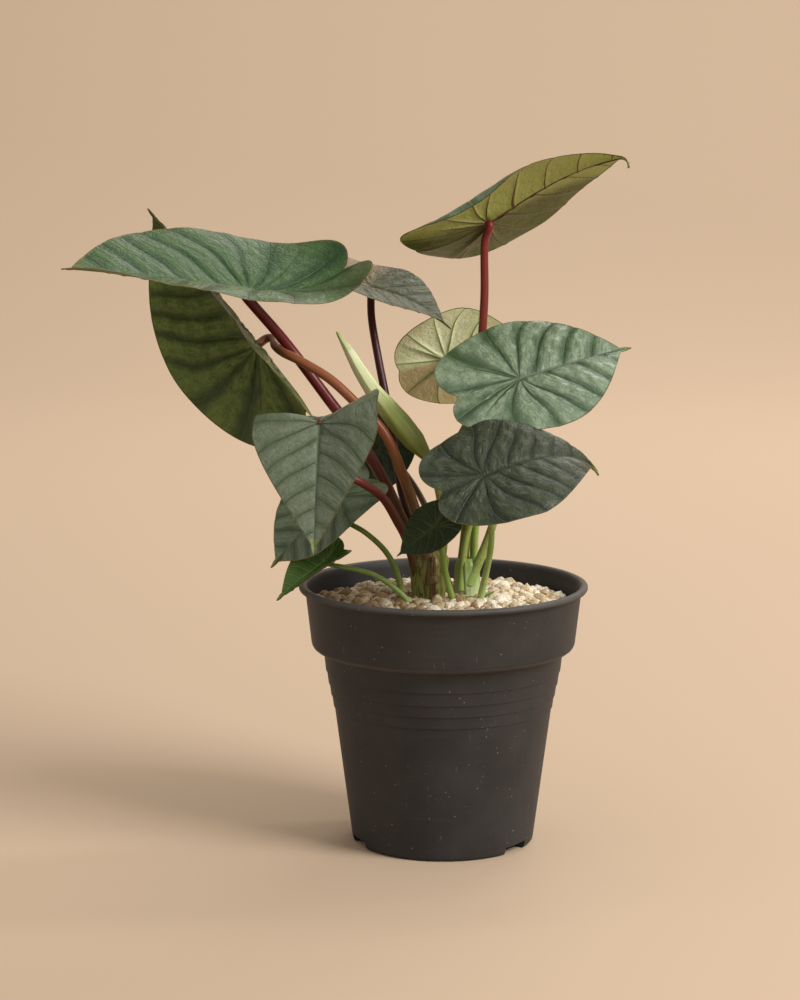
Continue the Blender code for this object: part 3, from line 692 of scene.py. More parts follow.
def blade_surface(form, along, across):
    """The upper face of a blade, in millimetres above the mix, at flat positions on the blade."""
    fore, aft, half = form["fore"], form["aft"], form["width"] / 2
    along, across = np.broadcast_arrays(np.asarray(along, float), np.asarray(across, float))
    steps = (np.arange(24) + 0.5) / 24

    def lift(place):
        ahead = np.clip(place / fore, 0, 1.2)
        behind = np.clip(-place / aft, 0, 1.2)
        drip = np.clip((ahead - 0.88) / 0.12, 0, 1)
        bent = form["arch_aft"] * behind + form["kink"] * np.tanh(np.clip(-place, 0, None) / 4)
        return np.radians(bent - form["arch"] * ahead ** form["bend"] - form["droop"] * drip)

    slopes = lift(along[..., None] * steps)
    middle = np.stack([np.cos(slopes).mean(-1) * along, 0 * along, np.sin(slopes).mean(-1) * along], -1)
    slope = lift(along)
    ahead = np.clip(along / fore, 0, 1)
    behind = np.clip(-along / aft, 0, 1)
    is_left = smoothstep(-1.5, 1.5, across)
    fold, curl, hem = (np.radians(form[key][1] + (form[key][0] - form[key][1]) * is_left)[..., None]
                       for key in ("fold", "curl", "hem"))
    kept = 1 + (form["fold_tip"] - 1) * ahead + (form["fold_aft"] - 1) * behind
    out = np.abs(across)
    spans = out[..., None] * steps
    rise = fold * kept[..., None] * np.tanh(spans / 5) + curl * spans / half + hem * (spans / half) ** 6
    flat = np.cos(rise).mean(-1) * across
    high = np.sin(rise).mean(-1) * out
    twist = np.radians(form["twist_aft"]) * behind
    normal = np.stack([-np.sin(slope), 0 * slope, np.cos(slope)], -1)
    side = np.array([0, 1, 0])
    level = np.cos(twist)[..., None] * side + np.sin(twist)[..., None] * normal
    upward = np.cos(twist)[..., None] * normal - np.sin(twist)[..., None] * side
    place = middle + flat[..., None] * level + high[..., None] * upward
    return place @ turning(form).T + np.array(form["at"], float)


def blade_normal(form, along, across, step=0.3):
    """The direction that the upper face looks in, from neighbours a step away."""
    ahead = blade_surface(form, along + step, across) - blade_surface(form, along - step, across)
    aside = blade_surface(form, along, across + step) - blade_surface(form, along, across - step)
    normal = np.cross(ahead, aside)
    return normal / np.linalg.norm(normal, axis=-1, keepdims=True)


def vein_layout(form, along, across):
    """Where a point lies among the veins: (0 on a lateral to 0.5 between two, millimetres from it,
    millimetres from the rear rib)."""
    out = np.abs(across)
    sway = np.sin(out * 0.17 + along * 0.11 + form["phase"] * 9 + 2.0 * (across > 0))
    sway = sway * out * 2 / form["width"]
    bent = along - VEIN_SWEEP * across ** 2 / form["width"] + VEIN_WOBBLE * sway
    ahead = bent - VEIN_LEAN * out
    angle = np.arctan2(out, bent)
    place = np.where(ahead > 0, ahead / form["vein_gap"], (VEIN_FIRST - angle) / VEIN_FAN)
    place = place + form["phase"] + VEIN_LEFT_SHIFT * (across > 0)
    near = np.abs(place - np.round(place))
    reach = np.hypot(out, bent)
    pitch = np.minimum(VEIN_FAN * reach, form["vein_gap"] * math.sin(VEIN_FIRST))
    off_rib = np.clip(np.abs(angle - RIB_ANGLE), 0, math.pi / 2)
    return near, near * pitch, reach * np.sin(off_rib)


def blade_relief(form, along, across, edge):
    """How far the upper face rises between the veins and sinks along them, in millimetres."""
    near, off_vein, off_rib = vein_layout(form, along, across)
    out = np.abs(across)
    reach = np.hypot(along, across)
    calm = smoothstep(0.5, 6, out) * smoothstep(3, 12, reach) * (1 - 0.7 * edge ** 6)
    rows = np.sin(reach * 0.85 + 1.3 * np.sin(near * 9 + along * 0.08) + form["phase"] * 5)
    puff = (form["quilt"] * np.sin(math.pi * near) ** 0.7 + form["wrinkle"] * rows * near * 2) * calm
    groove = -GROOVE_DEPTH * bell(off_vein, 0.7) * smoothstep(2, 8, reach)
    ahead = smoothstep(-3, 1, along)
    rib = -MIDRIB_DEPTH * bell(across, 1.3) * ahead * (1 - 0.6 * edge)
    rear = -REAR_RIB_DEPTH * bell(off_rib, 1.2) * smoothstep(4, -4, along) * (1 - edge ** 2)
    wave = form["ripple"] * edge ** 4 * np.sin(along * 0.17 + form["phase"] * 9 + 2.0 * (across <= 0))
    return puff + groove + rib + rear + wave


def blade_object(name, form, thickness, materials):
    """A closed blade: its face with the relief, its underside with the veins' ridges, and the rim between."""
    fine, round_steps, rings = (34, 30, 26) if form["width"] < SMALL_BLADE else (58, 50, 52)
    along, across = half_outline(form, fine, round_steps)
    along = np.concatenate([along, along[-2:0:-1]])
    across = np.concatenate([across, -across[-2:0:-1]])
    count = len(along)
    reach = np.linspace(0, 1, rings + 1)[1:]
    s = np.concatenate([[0.0], (reach[:, None] * along).ravel()])
    w = np.concatenate([[0.0], (reach[:, None] * across).ravel()])
    edge = np.concatenate([[0.0], np.repeat(reach, count)])
    normal = blade_normal(form, s, w)
    top = blade_surface(form, s, w) + normal * blade_relief(form, s, w, edge)[:, None]
    _, off_vein, off_rib = vein_layout(form, s, w)
    stout = 1 - 0.75 * edge
    ridge = MIDRIB_RIDGE * bell(w, 1.2) * smoothstep(-4, 0, s) * stout
    ridge += REAR_RIDGE * bell(off_rib, 1.1) * smoothstep(2, -4, s) * stout
    ridge += LATERAL_RIDGE * bell(off_vein, 0.6) * smoothstep(2, 6, np.hypot(s, w)) * stout
    under = top - normal * (thickness * (1 - 0.45 * edge ** 6) + ridge)[:, None]
    side = len(s)
    faces = [(0, 1 + j, 1 + (j + 1) % count) for j in range(count)]
    for k in range(rings - 1):
        faces += band(1 + k * count, 1 + (k + 1) * count, count)
    upper = len(faces)
    faces += [tuple(side + i for i in reversed(face)) for face in faces]
    faces += band(side - count, 2 * side - count, count)
    indices = np.ones(len(faces), np.int32)
    indices[:upper] = 0
    points = plant_point(np.concatenate([top, under]))
    obj = mesh_object(name, points, faces, materials, indices)
    point_attribute(obj, "leaf", np.tile(np.stack([s, w, edge], -1), (2, 1)))
    return obj


def vein_paint(paint, form):
    """The same veins in the shader: (near, off_vein, off_rib, along, across, edge, leaf position, and a
    position that runs along the laterals)."""
    leaf = paint.attribute("leaf", out=1)
    along, across, edge = paint.parts(leaf)
    out = abs(across)
    sway = out * 0.17 + along * 0.11 + form["phase"] * 9 + (across > 0) * 2.0
    sway = sway.math("SINE") * out * (2 / form["width"])
    bent = along - across * across * (VEIN_SWEEP / form["width"]) + sway * VEIN_WOBBLE
    ahead = bent - out * VEIN_LEAN
    angle = out.math("ARCTAN2", bent)
    front = ahead > 0
    place = front * ahead / form["vein_gap"] + (1 - front) * (VEIN_FIRST - angle) / VEIN_FAN
    place = place + form["phase"] + (across > 0) * VEIN_LEFT_SHIFT
    near = place.math("PINGPONG", 0.5)
    reach = (out * out + bent * bent) ** 0.5
    pitch = (reach * VEIN_FAN).math("MINIMUM", form["vein_gap"] * math.sin(VEIN_FIRST))
    off_rib = abs(angle - RIB_ANGLE).math("MINIMUM", math.pi / 2).math("SINE") * reach
    flow = paint.node("ShaderNodeCombineXYZ", values={0: place * 5.0 + across * 0.02, 1: reach * 0.13})
    return near, near * pitch, off_rib, along, across, edge, leaf, flow


def blade_material(name, form, finish, under, bright, sheen):
    """A blade's skin: paler between the veins, with its own margin and tip."""
    face, beside, vein, margin, tip = [srgb(*(min(255, c * bright) for c in colour)) for colour in finish]
    paint = Paint(name)
    near, off_vein, off_rib, along, across, edge, leaf, flow = vein_paint(paint, form)
    out = abs(across)
    mottle = paint.noise(leaf, 0.09, 4.0)
    grain = paint.noise(leaf, 0.55, 4.0, 0.65)
    net = paint.cells(leaf, 0.36)
    wrinkles = paint.noise(flow, 1.0, 3.0, 0.6)
    between = (near + (mottle - 0.5) * 0.5).step(0.0, 0.36)
    colour = paint.mix(between, beside, face)
    colour = paint.mix(grain.step(0.42, 0.66) * 0.35, colour, beside)
    colour = paint.mix(mottle.step(0.5, 0.75) * 0.3, colour, vein if under else face)
    colour = paint.mix(net.step(0.1, 0.0) * 0.2 + wrinkles.step(0.56, 0.4) * 0.28, colour, beside)
    # A patch tints part of the blade; the one on round_middle's underside is a painted shadow
    if name in PATCHES:
        tint, pull, aside, low, high = PATCHES[name]
        share = (along * pull + across * aside + (mottle - 0.5) * 8).step(low, high)
        colour = paint.mix(share * 0.8, colour, srgb(*tint))
    front = along.step(-3.0, 1.0)
    mid_width = 1.0 - edge * 0.7
    midrib = (out / mid_width).step(1.0, 0.4) * front
    rear = (off_rib / mid_width).step(0.9, 0.3) * (1 - front) * edge.step(0.85, 0.3)
    lateral = (off_vein / (0.6 - edge * 0.3)).step(1.0, 0.3) * (0.9 if under else 0.75)
    lines = midrib.math("MAXIMUM", rear).math("MAXIMUM", lateral)
    colour = paint.mix(lines, colour, vein)
    colour = paint.mix(midrib * (0.0 if under else 0.45), colour, face)
    tip_share = (along / form["fore"]).step(0.84, 0.97)
    colour = paint.mix(tip_share * 0.8, colour, tip)
    rim = (edge + (grain - 0.5) * 0.012).step(0.98, 0.992)
    colour = paint.mix(rim * 0.8, colour, margin)
    rough = 0.28 + mottle * 0.14 + wrinkles * 0.16
    ridges = grain * 0.5 + mottle * 0.6 + net.step(0.0, 0.2) * 0.25 - lines * (-0.7 if under else 0.7)
    ridges = ridges + wrinkles * 2.2 * (0.25 if under else 1.0)
    normal = paint.bump(ridges, 0.7, 0.0005)
    return paint.finish(colour, rough, normal, Coat_Weight=sheen, Coat_Roughness=0.2, Specular_IOR_Level=0.25,
                        Subsurface_Weight=0.3 if under else 0.2, Subsurface_Radius=(0.8, 1.0, 0.3),
                        Subsurface_Scale=0.0011)


# Stems

def stem_tree():
    """A tube along a line of points, as thick as the girth that each point carries."""
    inputs = {"Line": "Geometry", "Point spacing": "Float", "Sides": "Int", "Finish": "Material"}
    tree = Growth("stem_tube", inputs, "Stem")
    line = tree.node("GeometryNodeMeshToCurve", values={"Mesh": tree.given("Line")})
    settings = {"data_type": "FLOAT"}
    girth = tree.node("GeometryNodeInputNamedAttribute", settings, {"Name": "girth"}, "Attribute")
    values = {"Curve": line, "Length": tree.given("Point spacing")}
    even = tree.node("GeometryNodeResampleCurve", {"mode": "LENGTH"}, values)
    kept = tree.store(even, "along", tree.node("GeometryNodeSplineParameter", out="Factor"))
    values = {"Resolution": tree.given("Sides"), "Radius": 1.0}
    circle = tree.node("GeometryNodeCurvePrimitiveCircle", values=values)
    values = {"Curve": kept, "Profile Curve": circle, "Scale": girth, "Fill Caps": True}
    return tree.close(tree.node("GeometryNodeCurveToMesh", values=values))


def run_tree(obj, tree, values):
    """Runs a node tree on the object with the named inputs, and keeps the result as its plain mesh."""
    modifier = obj.modifiers.new(tree.name, "NODES")
    modifier.node_group = tree
    names = {item.name: item.identifier for item in tree.interface.items_tree if item.in_out == "INPUT"}
    for label, value in values.items():
        modifier[names[label]] = value
    bpy.context.view_layer.update()
    graph = bpy.context.evaluated_depsgraph_get()
    mesh = bpy.data.meshes.new_from_object(obj.evaluated_get(graph))
    obj.modifiers.remove(modifier)
    obj.data = mesh
    mesh.name = obj.name
    mesh.shade_smooth()
    mesh.set_sharp_from_angle(angle=math.radians(60))
    return obj


def stem_object(name, path, radii, spacing, material):
    """A stem along a smooth path in millimetres above the mix, made by the stem tree."""
    mesh = bpy.data.meshes.new(name)
    mesh.from_pydata(plant_point(path).tolist(), [(k, k + 1) for k in range(len(path) - 1)], [])
    obj = bpy.data.objects.new(name, mesh)
    bpy.context.scene.collection.objects.link(obj)
    point_attribute(obj, "girth", np.asarray(radii) * MM)
    tree = bpy.data.node_groups.get("stem_tube") or stem_tree()
    return run_tree(obj, tree, {"Point spacing": spacing, "Sides": 20, "Finish": material})


def stem_material(name, colours, streak=(60, 30, 26)):
    """A fleshy stem, its colour changing from foot to blade, with fine dark flecks."""
    paint = Paint(name)
    along = paint.attribute("along")
    place = paint.place()
    stops = [(spot, srgb(*colour)) for spot, colour in zip((0.05, 0.45, 0.97), colours)]
    mottle = paint.noise(place, 160, 4.0)
    colour = paint.ramp(along + (mottle - 0.5) * 0.25, *stops)
    flecks = paint.noise(place, 900, 2.0).step(0.58, 0.7) * mottle.step(0.35, 0.6) * 0.45
    colour = paint.mix(flecks, colour, srgb(*streak))
    pale = paint.noise(place, 420, 2.0).step(0.6, 0.75) * 0.2
    colour = paint.mix(pale, colour, srgb(*(min(255, c * 1.35) for c in colours[1])))
    normal = paint.bump(paint.noise(place, 700, 3.0), 0.25, 0.0003)
    return paint.finish(colour, 0.32 + mottle * 0.12, normal, Coat_Weight=0.06, Coat_Roughness=0.2,
                        Specular_IOR_Level=0.3, Subsurface_Weight=0.12, Subsurface_Radius=(1.0, 0.5, 0.3),
                        Subsurface_Scale=0.0015)


def petiole_object(name, start, end, points, colours):
    """A petiole that swells towards its foot and meets its blade from below."""
    form = BLADE_FORM | BLADES[name]
    here = np.zeros(1)
    normal = blade_normal(form, here, here)[0]
    at = np.array(form["at"], float)
    foot, above = np.array(points[:2], float)
    if foot[2] > 0:
        foot = foot + (foot - above) * SUNK_IN_CROWN
    path = smooth_path([foot, *points[1:], *(at - normal * gap for gap in BLADE_GAPS)], 14)
    run = lengths_along(path)
    radii = start + (end - start) * run / run[-1]
    radii = radii * (1 + 0.45 * np.exp(-run / 9)) * (1 + 0.1 * np.exp(-(run[-1] - run) / 2.2))
    return stem_object(name + "_stem", path, radii, STEM_SPACING, stem_material(name + "_stem", colours))


def crown_object(name, which, material):
    """A crown of wrapped leaf bases: lapped edges run up it and part towards the top."""
    (x, y), rows, laps = CROWNS[which][:3]
    count, levels = 120, 70
    turns = closed_ring(count)
    heights = np.linspace(rows[0][0], rows[-1][0], levels)
    table = np.array(rows)
    rings = []
    for height in heights:
        wide, deep = (np.interp(height, table[:, 0], table[:, k]) for k in (1, 2))
        share = (height - rows[0][0]) / (rows[-1][0] - rows[0][0])
        shape = np.ones(count)
        for number, lap in enumerate(laps):
            drift = lap + (0.35 if number % 2 else -0.3) * share
            apart = (turns - drift + math.pi) % (2 * math.pi) - math.pi
            shape += 0.075 * bell(apart - 0.16, 0.14) - 0.085 * bell(apart + 0.03, 0.07)
        shape += 0.03 * np.cos(5 * turns) * share
        if share > 0.86:
            shape *= 1 - 0.35 * ((share - 0.86) / 0.14) ** 2
        rings.append(oval(x, y, wide * shape, deep * shape, turns, height))
    ends = [rings[0].mean(0), rings[-1].mean(0) - [0, 0, 0.6]]
    obj = ringed_object(name, plant_point(rings), plant_point(ends), material)
    level = np.repeat(np.linspace(0, 1, levels), count)
    point_attribute(obj, "along", np.concatenate([level, [0, 1]]))
    return obj


def crown_material(name, colours, marble):
    """Fleshy leaf bases, marbled with dark flecks that run up the stem."""
    paint = Paint(name)
    place = paint.place()
    along = paint.attribute("along")
    upright = paint.stretched(place, 1.0, 1.0, 0.22)
    mottle = paint.noise(upright, 300, 4.0)
    colour = paint.ramp(along + (mottle - 0.5) * 0.5, (0.1, srgb(*colours[0])), (0.9, srgb(*colours[1])))
    marbling = paint.noise(upright, 620, 3.0, 0.65).step(0.5, 0.62) * marble
    colour = paint.mix(marbling, colour, srgb(58, 44, 30))
    colour = paint.mix((along + (mottle - 0.5) * 0.2).step(0.28, 0.05) * 0.6, colour, srgb(150, 148, 96))
    normal = paint.bump(paint.noise(upright, 900, 3.0), 0.35, 0.0004)
    return paint.finish(colour, 0.36 + mottle * 0.16, normal, Coat_Weight=0.12, Coat_Roughness=0.3,
                        Subsurface_Weight=0.1, Subsurface_Radius=(1.0, 0.6, 0.3), Subsurface_Scale=0.0015)


def sheath_object(name, material):
    """The dry strip of an old leaf base against the front of the main crown, frayed at its top."""
    (x, y), rows = CROWNS["main"][:2]
    table = np.array(rows)
    turns = np.radians(np.linspace(*SHEATH_ARC, 28))
    rings = []
    for height in np.linspace(*SHEATH_SPAN, 40):
        wide, deep = (np.interp(height, table[:, 0], table[:, k]) for k in (1, 2))
        narrow = 1 - 0.6 * (height / SHEATH_FULL) ** 2
        arc = turns.mean() + (turns - turns.mean()) * narrow
        crease = 0.12 * np.sin(turns * 34 + height * 0.1)
        inner = oval(x, y, wide + 0.3, deep + 0.3, arc, height)
        reach = 1.05 + crease + 0.25 * smoothstep(18, SHEATH_FULL, height)
        fray = 0.5 * np.sin(turns * 21) * smoothstep(22, SHEATH_FULL, height)
        outer = oval(x, y, wide + reach, deep + reach, arc, height + fray)
        rings.append(np.concatenate([inner, outer[::-1]])[::-1])
    ends = [rings[0].mean(0), rings[-1].mean(0)]
    return ringed_object(name, plant_point(rings), plant_point(ends), material)


def roll_object(name, material):
    """A leaf still rolled into a spindle: the free edge winds round it and stands a little off."""
    path = smooth_path(ROLL_PATH, 12)
    spots = np.linspace(0, 1, len(path))
    radii = np.interp(spots, np.linspace(0, 1, len(ROLL_RADII)), ROLL_RADII)
    tangents = np.gradient(path, axis=0)
    tangents /= np.linalg.norm(tangents, axis=1, keepdims=True)
    across = np.cross(tangents[0], [0, 1, 0])
    count = 96
    turns = np.arange(count) / count
    rings = []
    for point, tangent, radius, spot in zip(path, tangents, radii, spots):
        across = across - tangent * (across @ tangent)
        across /= np.linalg.norm(across)
        other = np.cross(tangent, across)
        lap = 0.30 * np.exp(-turns * count / 5.0) - 0.06 * np.exp(-(1 - turns) * count / 5.0)
        pleat = 0.025 * np.cos(14 * math.pi * turns + spot * 3)
        scale = radius * (0.90 + 0.1 * turns + lap * (1 - 0.5 * spot) + pleat)
        angle = 2 * math.pi * (turns + ROLL_WIND * spot) + ROLL_START
        outward = np.cos(angle)[:, None] * across + np.sin(angle)[:, None] * other
        rings.append(point + scale[:, None] * outward)
    ends = [rings[0].mean(0), rings[-1].mean(0) + tangents[-1] * 0.8]
    obj = ringed_object(name, plant_point(rings), plant_point(ends), material)
    level = np.append(np.repeat(spots, count), [0, 1])
    turn = np.append(np.tile(turns, len(rings)), [0, 0])
    point_attribute(obj, "roll", np.stack([level, turn, 0 * turn], -1))
    return obj


def roll_material(name):
    """Pale young tissue, streaked along the roll and yellower towards its foot."""
    paint = Paint(name)
    level, turn, _ = paint.parts(paint.attribute("roll", out=1))
    place = paint.place()
    mottle = paint.noise(place, 200, 3.0)
    colour = paint.ramp(level + (mottle - 0.5) * 0.2, (0.08, srgb(112, 124, 48)), (0.36, srgb(146, 158, 82)),
                        (0.55, srgb(196, 202, 152)), (0.85, srgb(210, 212, 176)), (1.0, srgb(146, 168, 90)))
    streaks = (turn * 7.0 + level * 0.5).math("PINGPONG", 0.5).step(0.16, 0.0) * 0.7
    colour = paint.mix(streaks, colour, srgb(116, 140, 60))
    lap = turn.step(0.05, 0.0)
    colour = paint.mix(lap * 0.7, colour, srgb(128, 138, 70))
    normal = paint.bump(paint.noise(place, 500, 3.0), 0.2, 0.0003)
    return paint.finish(colour, 0.36 + mottle * 0.1, normal, Coat_Weight=0.1, Coat_Roughness=0.3,
                        Subsurface_Weight=0.25, Subsurface_Radius=(1.0, 1.0, 0.4), Subsurface_Scale=0.0015)


def dry_material(name):
    """Papery brown leaf base with pale specks and long fibres."""
    paint = Paint(name)
    place = paint.place()
    upright = paint.stretched(place, 1.0, 1.0, 0.12)
    fibres = paint.noise(upright, 900, 4.0)
    colour = paint.ramp(fibres, (0.3, srgb(74, 50, 28)), (0.6, srgb(118, 86, 46)), (0.8, srgb(156, 124, 76)))
    specks = paint.noise(place, 1400, 1.0).step(0.64, 0.72) * 0.6
    colour = paint.mix(specks, colour, srgb(176, 150, 118))
    normal = paint.bump(fibres, 0.6, 0.0005)
    return paint.finish(colour, 0.72 + fibres * 0.2, normal)


# Pot

# The pot's profile in millimetres, and the rim radius and height that it is drawn for. Its foot and its
# collar are rows of (radius, height), and between them the wall leans out in four shallow ledges. The drain
# notches' angles are in degrees. Their depth and the height of the shoulder under the collar are in metres.
DRAWN_RADIUS = 60
DRAWN_HEIGHT = 109
FOOT_RADIUS = 37.8
WALL_SLOPE = 10.5 / 81
LEDGES = (57.7, 62.6, 67.5, 73.0)
LEDGE_STEP = 0.4
LEDGE_ROWS = ((0, -0.9), (0.1, -0.35), (0.5, -0.1), (0.55, 0.35))
NOTCHES = (-38, -158, 82)
NOTCH_DEPTH = 0.010
SHOULDER = 0.0815
FOOT_ROWS = [(0, 0.0), (30, 0.0), (36.6, 0.0), (37.3, 0.3), (37.9, 1.0), (38.1, 2.0)]
COLLAR_ROWS = [
    (49.75, 80.2), (50.1, 80.9), (51.2, 81.6), (53.2, 82.2), (54.1, 82.9), (54.6, 83.7), (54.9, 84.8),
    (57.3, 105.6), (57.5, 106.1), (57.9, 106.35), (58.9, 106.4), (59.6, 106.7), (60.0, 107.3), (60.0, 108.2),
    (59.7, 108.7), (59.1, 109.0), (57.7, 109.0), (57.0, 108.7), (56.4, 107.9), (56.1, 105.4), (53.6, 85.0),
    (53.2, 84.1), (52.0, 83.6), (49.6, 83.0), (48.6, 82.2), (48.1, 81.4), (44.2, 57.0), (36.7, 2.6),
    (36.2, 1.9), (35.6, 1.6), (0, 1.6)]


def pot_profile():
    """(radius, height) up the outside, over the rolled lip and down the inside."""
    rows = list(FOOT_ROWS)
    for number, height in enumerate(LEDGES):
        wall = FOOT_RADIUS + WALL_SLOPE * height + LEDGE_STEP * number
        rows += [(wall + out, height + up) for out, up in LEDGE_ROWS]
    scale = RIM_RADIUS / DRAWN_RADIUS
    tall = POT_HEIGHT / DRAWN_HEIGHT
    return [(radius * scale, height * tall) for radius, height in rows + COLLAR_ROWS]


def pot_object(name, material, notch_width, notch_height):
    """The turned pot, with its drain notches cut in the foot."""
    profile = pot_profile()
    count = 192
    turns = closed_ring(count)
    rings = [oval(0, 0, radius, radius, turns, height) for radius, height in profile[1:-1]]
    obj = ringed_object(name, rings, [(0, 0, profile[0][1]), (0, 0, profile[-1][1])], material)
    for degrees in NOTCHES:
        bpy.ops.mesh.primitive_cube_add(size=1, location=(0, 0, 0))
        cutter = bpy.context.object
        turn = math.radians(degrees)
        cutter.scale = (NOTCH_DEPTH, notch_width, 2 * notch_height)
        cutter.rotation_euler = (0, 0, turn)
        cutter.location = (FOOT_RADIUS * MM * math.cos(turn), FOOT_RADIUS * MM * math.sin(turn), 0)
        cut = obj.modifiers.new("notch", "BOOLEAN")
        cut.operation = "DIFFERENCE"
        cut.solver = "EXACT"
        cut.object = cutter
        bpy.context.view_layer.update()
        mesh = bpy.data.meshes.new_from_object(obj.evaluated_get(bpy.context.evaluated_depsgraph_get()))
        obj.modifiers.remove(cut)
        obj.data = mesh
        bpy.data.objects.remove(cutter, do_unlink=True)
    obj.data.shade_smooth()
    obj.data.set_sharp_from_angle(angle=math.radians(38))
    return obj


def pot_material(name, base):
    """Matte moulded plastic: fine grain, faint rub marks and specks of dust, with a painted highlight of paler grey on
    the top of the lip and on a band at the shoulder under the collar.
    """
    paint = Paint(name)
    place = paint.place()
    x, y, z = paint.parts(place)
    radius = (x * x + y * y) ** 0.5
    cloud = paint.noise(place, 45, 4.0)
    grain = paint.noise(place, 2600, 2.0)
    shade = [min(1.0, c * 1.45) for c in base[:3]]
    colour = paint.mix(cloud.step(0.3, 0.75), (*base[:3], 1), (*shade, 1))
    round_marks = paint.noise(paint.stretched(place, 1.0, 1.0, 14.0), 60, 5.0).step(0.56, 0.72)
    colour = paint.mix(round_marks * 0.035, colour, srgb(112, 110, 108))
    scuff = paint.noise(paint.stretched(place, 3.0, 3.0, 0.6), 120, 5.0, 0.7).step(0.64, 0.74)
    colour = paint.mix(scuff * cloud * 0.5, colour, srgb(122, 118, 114))
    dust = paint.cells(place, 520, "F1").step(0.13, 0.07) * paint.noise(place, 160, 3.0).step(0.54, 0.64)
    colour = paint.mix(dust * 0.75, colour, srgb(176, 166, 152))
    # Painted highlight: the top of the lip and a band at the shoulder under the collar are mixed towards a paler grey
    lip = (z + cloud * 0.001).step(POT_HEIGHT - 0.0022, POT_HEIGHT - 0.0002) * radius.step(0.055, 0.058)
    above = (z - SHOULDER) / MM
    ledge_highlight = above.step(-0.6, 0.4) * above.step(2.6, 1.2)
    colour = paint.mix(lip * (0.08 + cloud * 0.3) + ledge_highlight * cloud * 0.25, colour, srgb(128, 124, 118))
    inside = radius.step(0.0565, 0.054) * z.step(0.09, 0.1)
    colour = paint.mix(inside * 0.35, colour, srgb(40, 36, 33))
    rough = 0.50 + cloud * 0.14 + scuff * 0.1
    normal = paint.bump(grain * 0.6 + cloud * 0.4 + scuff * 0.2, 0.18, 0.00025)
    return paint.finish(colour, rough, normal, Specular_IOR_Level=0.3)


def mix_material(name):
    """Damp bark, coir and crumbs."""
    paint = Paint(name)
    place = paint.place()
    crumbs = paint.cells(place, 320, "F1")
    cloud = paint.noise(place, 500, 5.0)
    colour = paint.ramp(cloud, (0.3, srgb(34, 24, 18)), (0.55, srgb(66, 46, 32)), (0.75, srgb(112, 82, 56)))
    normal = paint.bump(crumbs + cloud * 0.6, 0.9, 0.002)
    return paint.finish(colour, 0.8 + cloud * 0.15, normal)


# Gravel

def pebble(name, seed, size):
    """One angular granule of a few dozen faces, about size across."""
    bm = bmesh.new()
    bmesh.ops.create_icosphere(bm, subdivisions=2, radius=1.0)
    rng = np.random.default_rng(seed)
    flats = rng.normal(size=(6, 3))
    flats /= np.linalg.norm(flats, axis=1, keepdims=True)
    depths = rng.uniform(0.62, 0.86, 6)
    stretch = rng.uniform(0.72, 1.2, 3)
    for vertex in bm.verts:
        p = np.array(vertex.co)
        for flat, depth in zip(flats, depths):
            p = p - flat * max(0.0, p @ flat - depth) * 0.92
        p = p * (1 + 0.16 * noise.noise(Vector(p * 1.7) + Vector((seed * 3.1, 0, 0))))
        p = p * (1 + 0.16 * noise.noise(Vector(p * 4.3) + Vector((0, seed * 2.3, 0))))
        vertex.co = p * stretch * size / 2
    mesh = bpy.data.meshes.new(name)
    bm.to_mesh(mesh)
    bm.free()
    return bpy.data.objects.new(name, mesh)


def gravel_tree():
    """Scatters the pebbles of a collection over a surface, each with a tone of its own."""
    inputs = {"Bed": "Geometry", "Pebbles": "Collection", "Spacing": "Float", "Smallest": "Float",
              "Largest": "Float", "Seed": "Int", "Finish": "Material"}
    tree = Growth("gravel_scatter", inputs, "Gravel")
    values = {"Mesh": tree.given("Bed"), "Distance Min": tree.given("Spacing"), "Density Max": MOST_SPOTS,
              "Seed": tree.given("Seed")}
    spots = tree.node("GeometryNodeDistributePointsOnFaces", {"distribute_method": "POISSON"}, values)
    values = {"Collection": tree.given("Pebbles"), "Separate Children": True, "Reset Children": True}
    kinds = tree.node("GeometryNodeCollectionInfo", values=values)
    turn = tree.random(TURN_SEED, "Value", "FLOAT_VECTOR", Max=(6.28, 6.28, 6.28))
    values = {"Value": tree.random(SIZE_SEED, 1) ** SMALL_SHARE, "To Min": tree.given("Smallest"),
              "To Max": tree.given("Largest")}
    size = tree.node("ShaderNodeMapRange", values=values)
    values = {"Points": spots, "Instance": kinds, "Pick Instance": True, "Rotation": turn, "Scale": size}
    put = tree.node("GeometryNodeInstanceOnPoints", values=values)
    return tree.close(tree.store(put, "tone", tree.random(TONE_SEED, 1), "INSTANCE"))


def gravel_layer(height, reach, count=48, rings=12):
    """Points and faces of one low mound of a bed, open below."""
    turns = closed_ring(count)
    points = [(0, 0, height + BED_CROWN)]
    faces = []
    for k in range(1, rings + 1):
        radius = reach * k / rings
        rise = BED_CROWN * (1 - (k / rings) ** 3)
        points += [(radius * math.cos(t), radius * math.sin(t), height + rise) for t in turns]
    for j in range(count):
        after = (j + 1) % count
        faces.append((0, 1 + j, 1 + after))
        for k in range(rings - 1):
            a, b = 1 + k * count + j, 1 + k * count + after
            faces.append((a, a + count, b + count, b))
    return points, faces


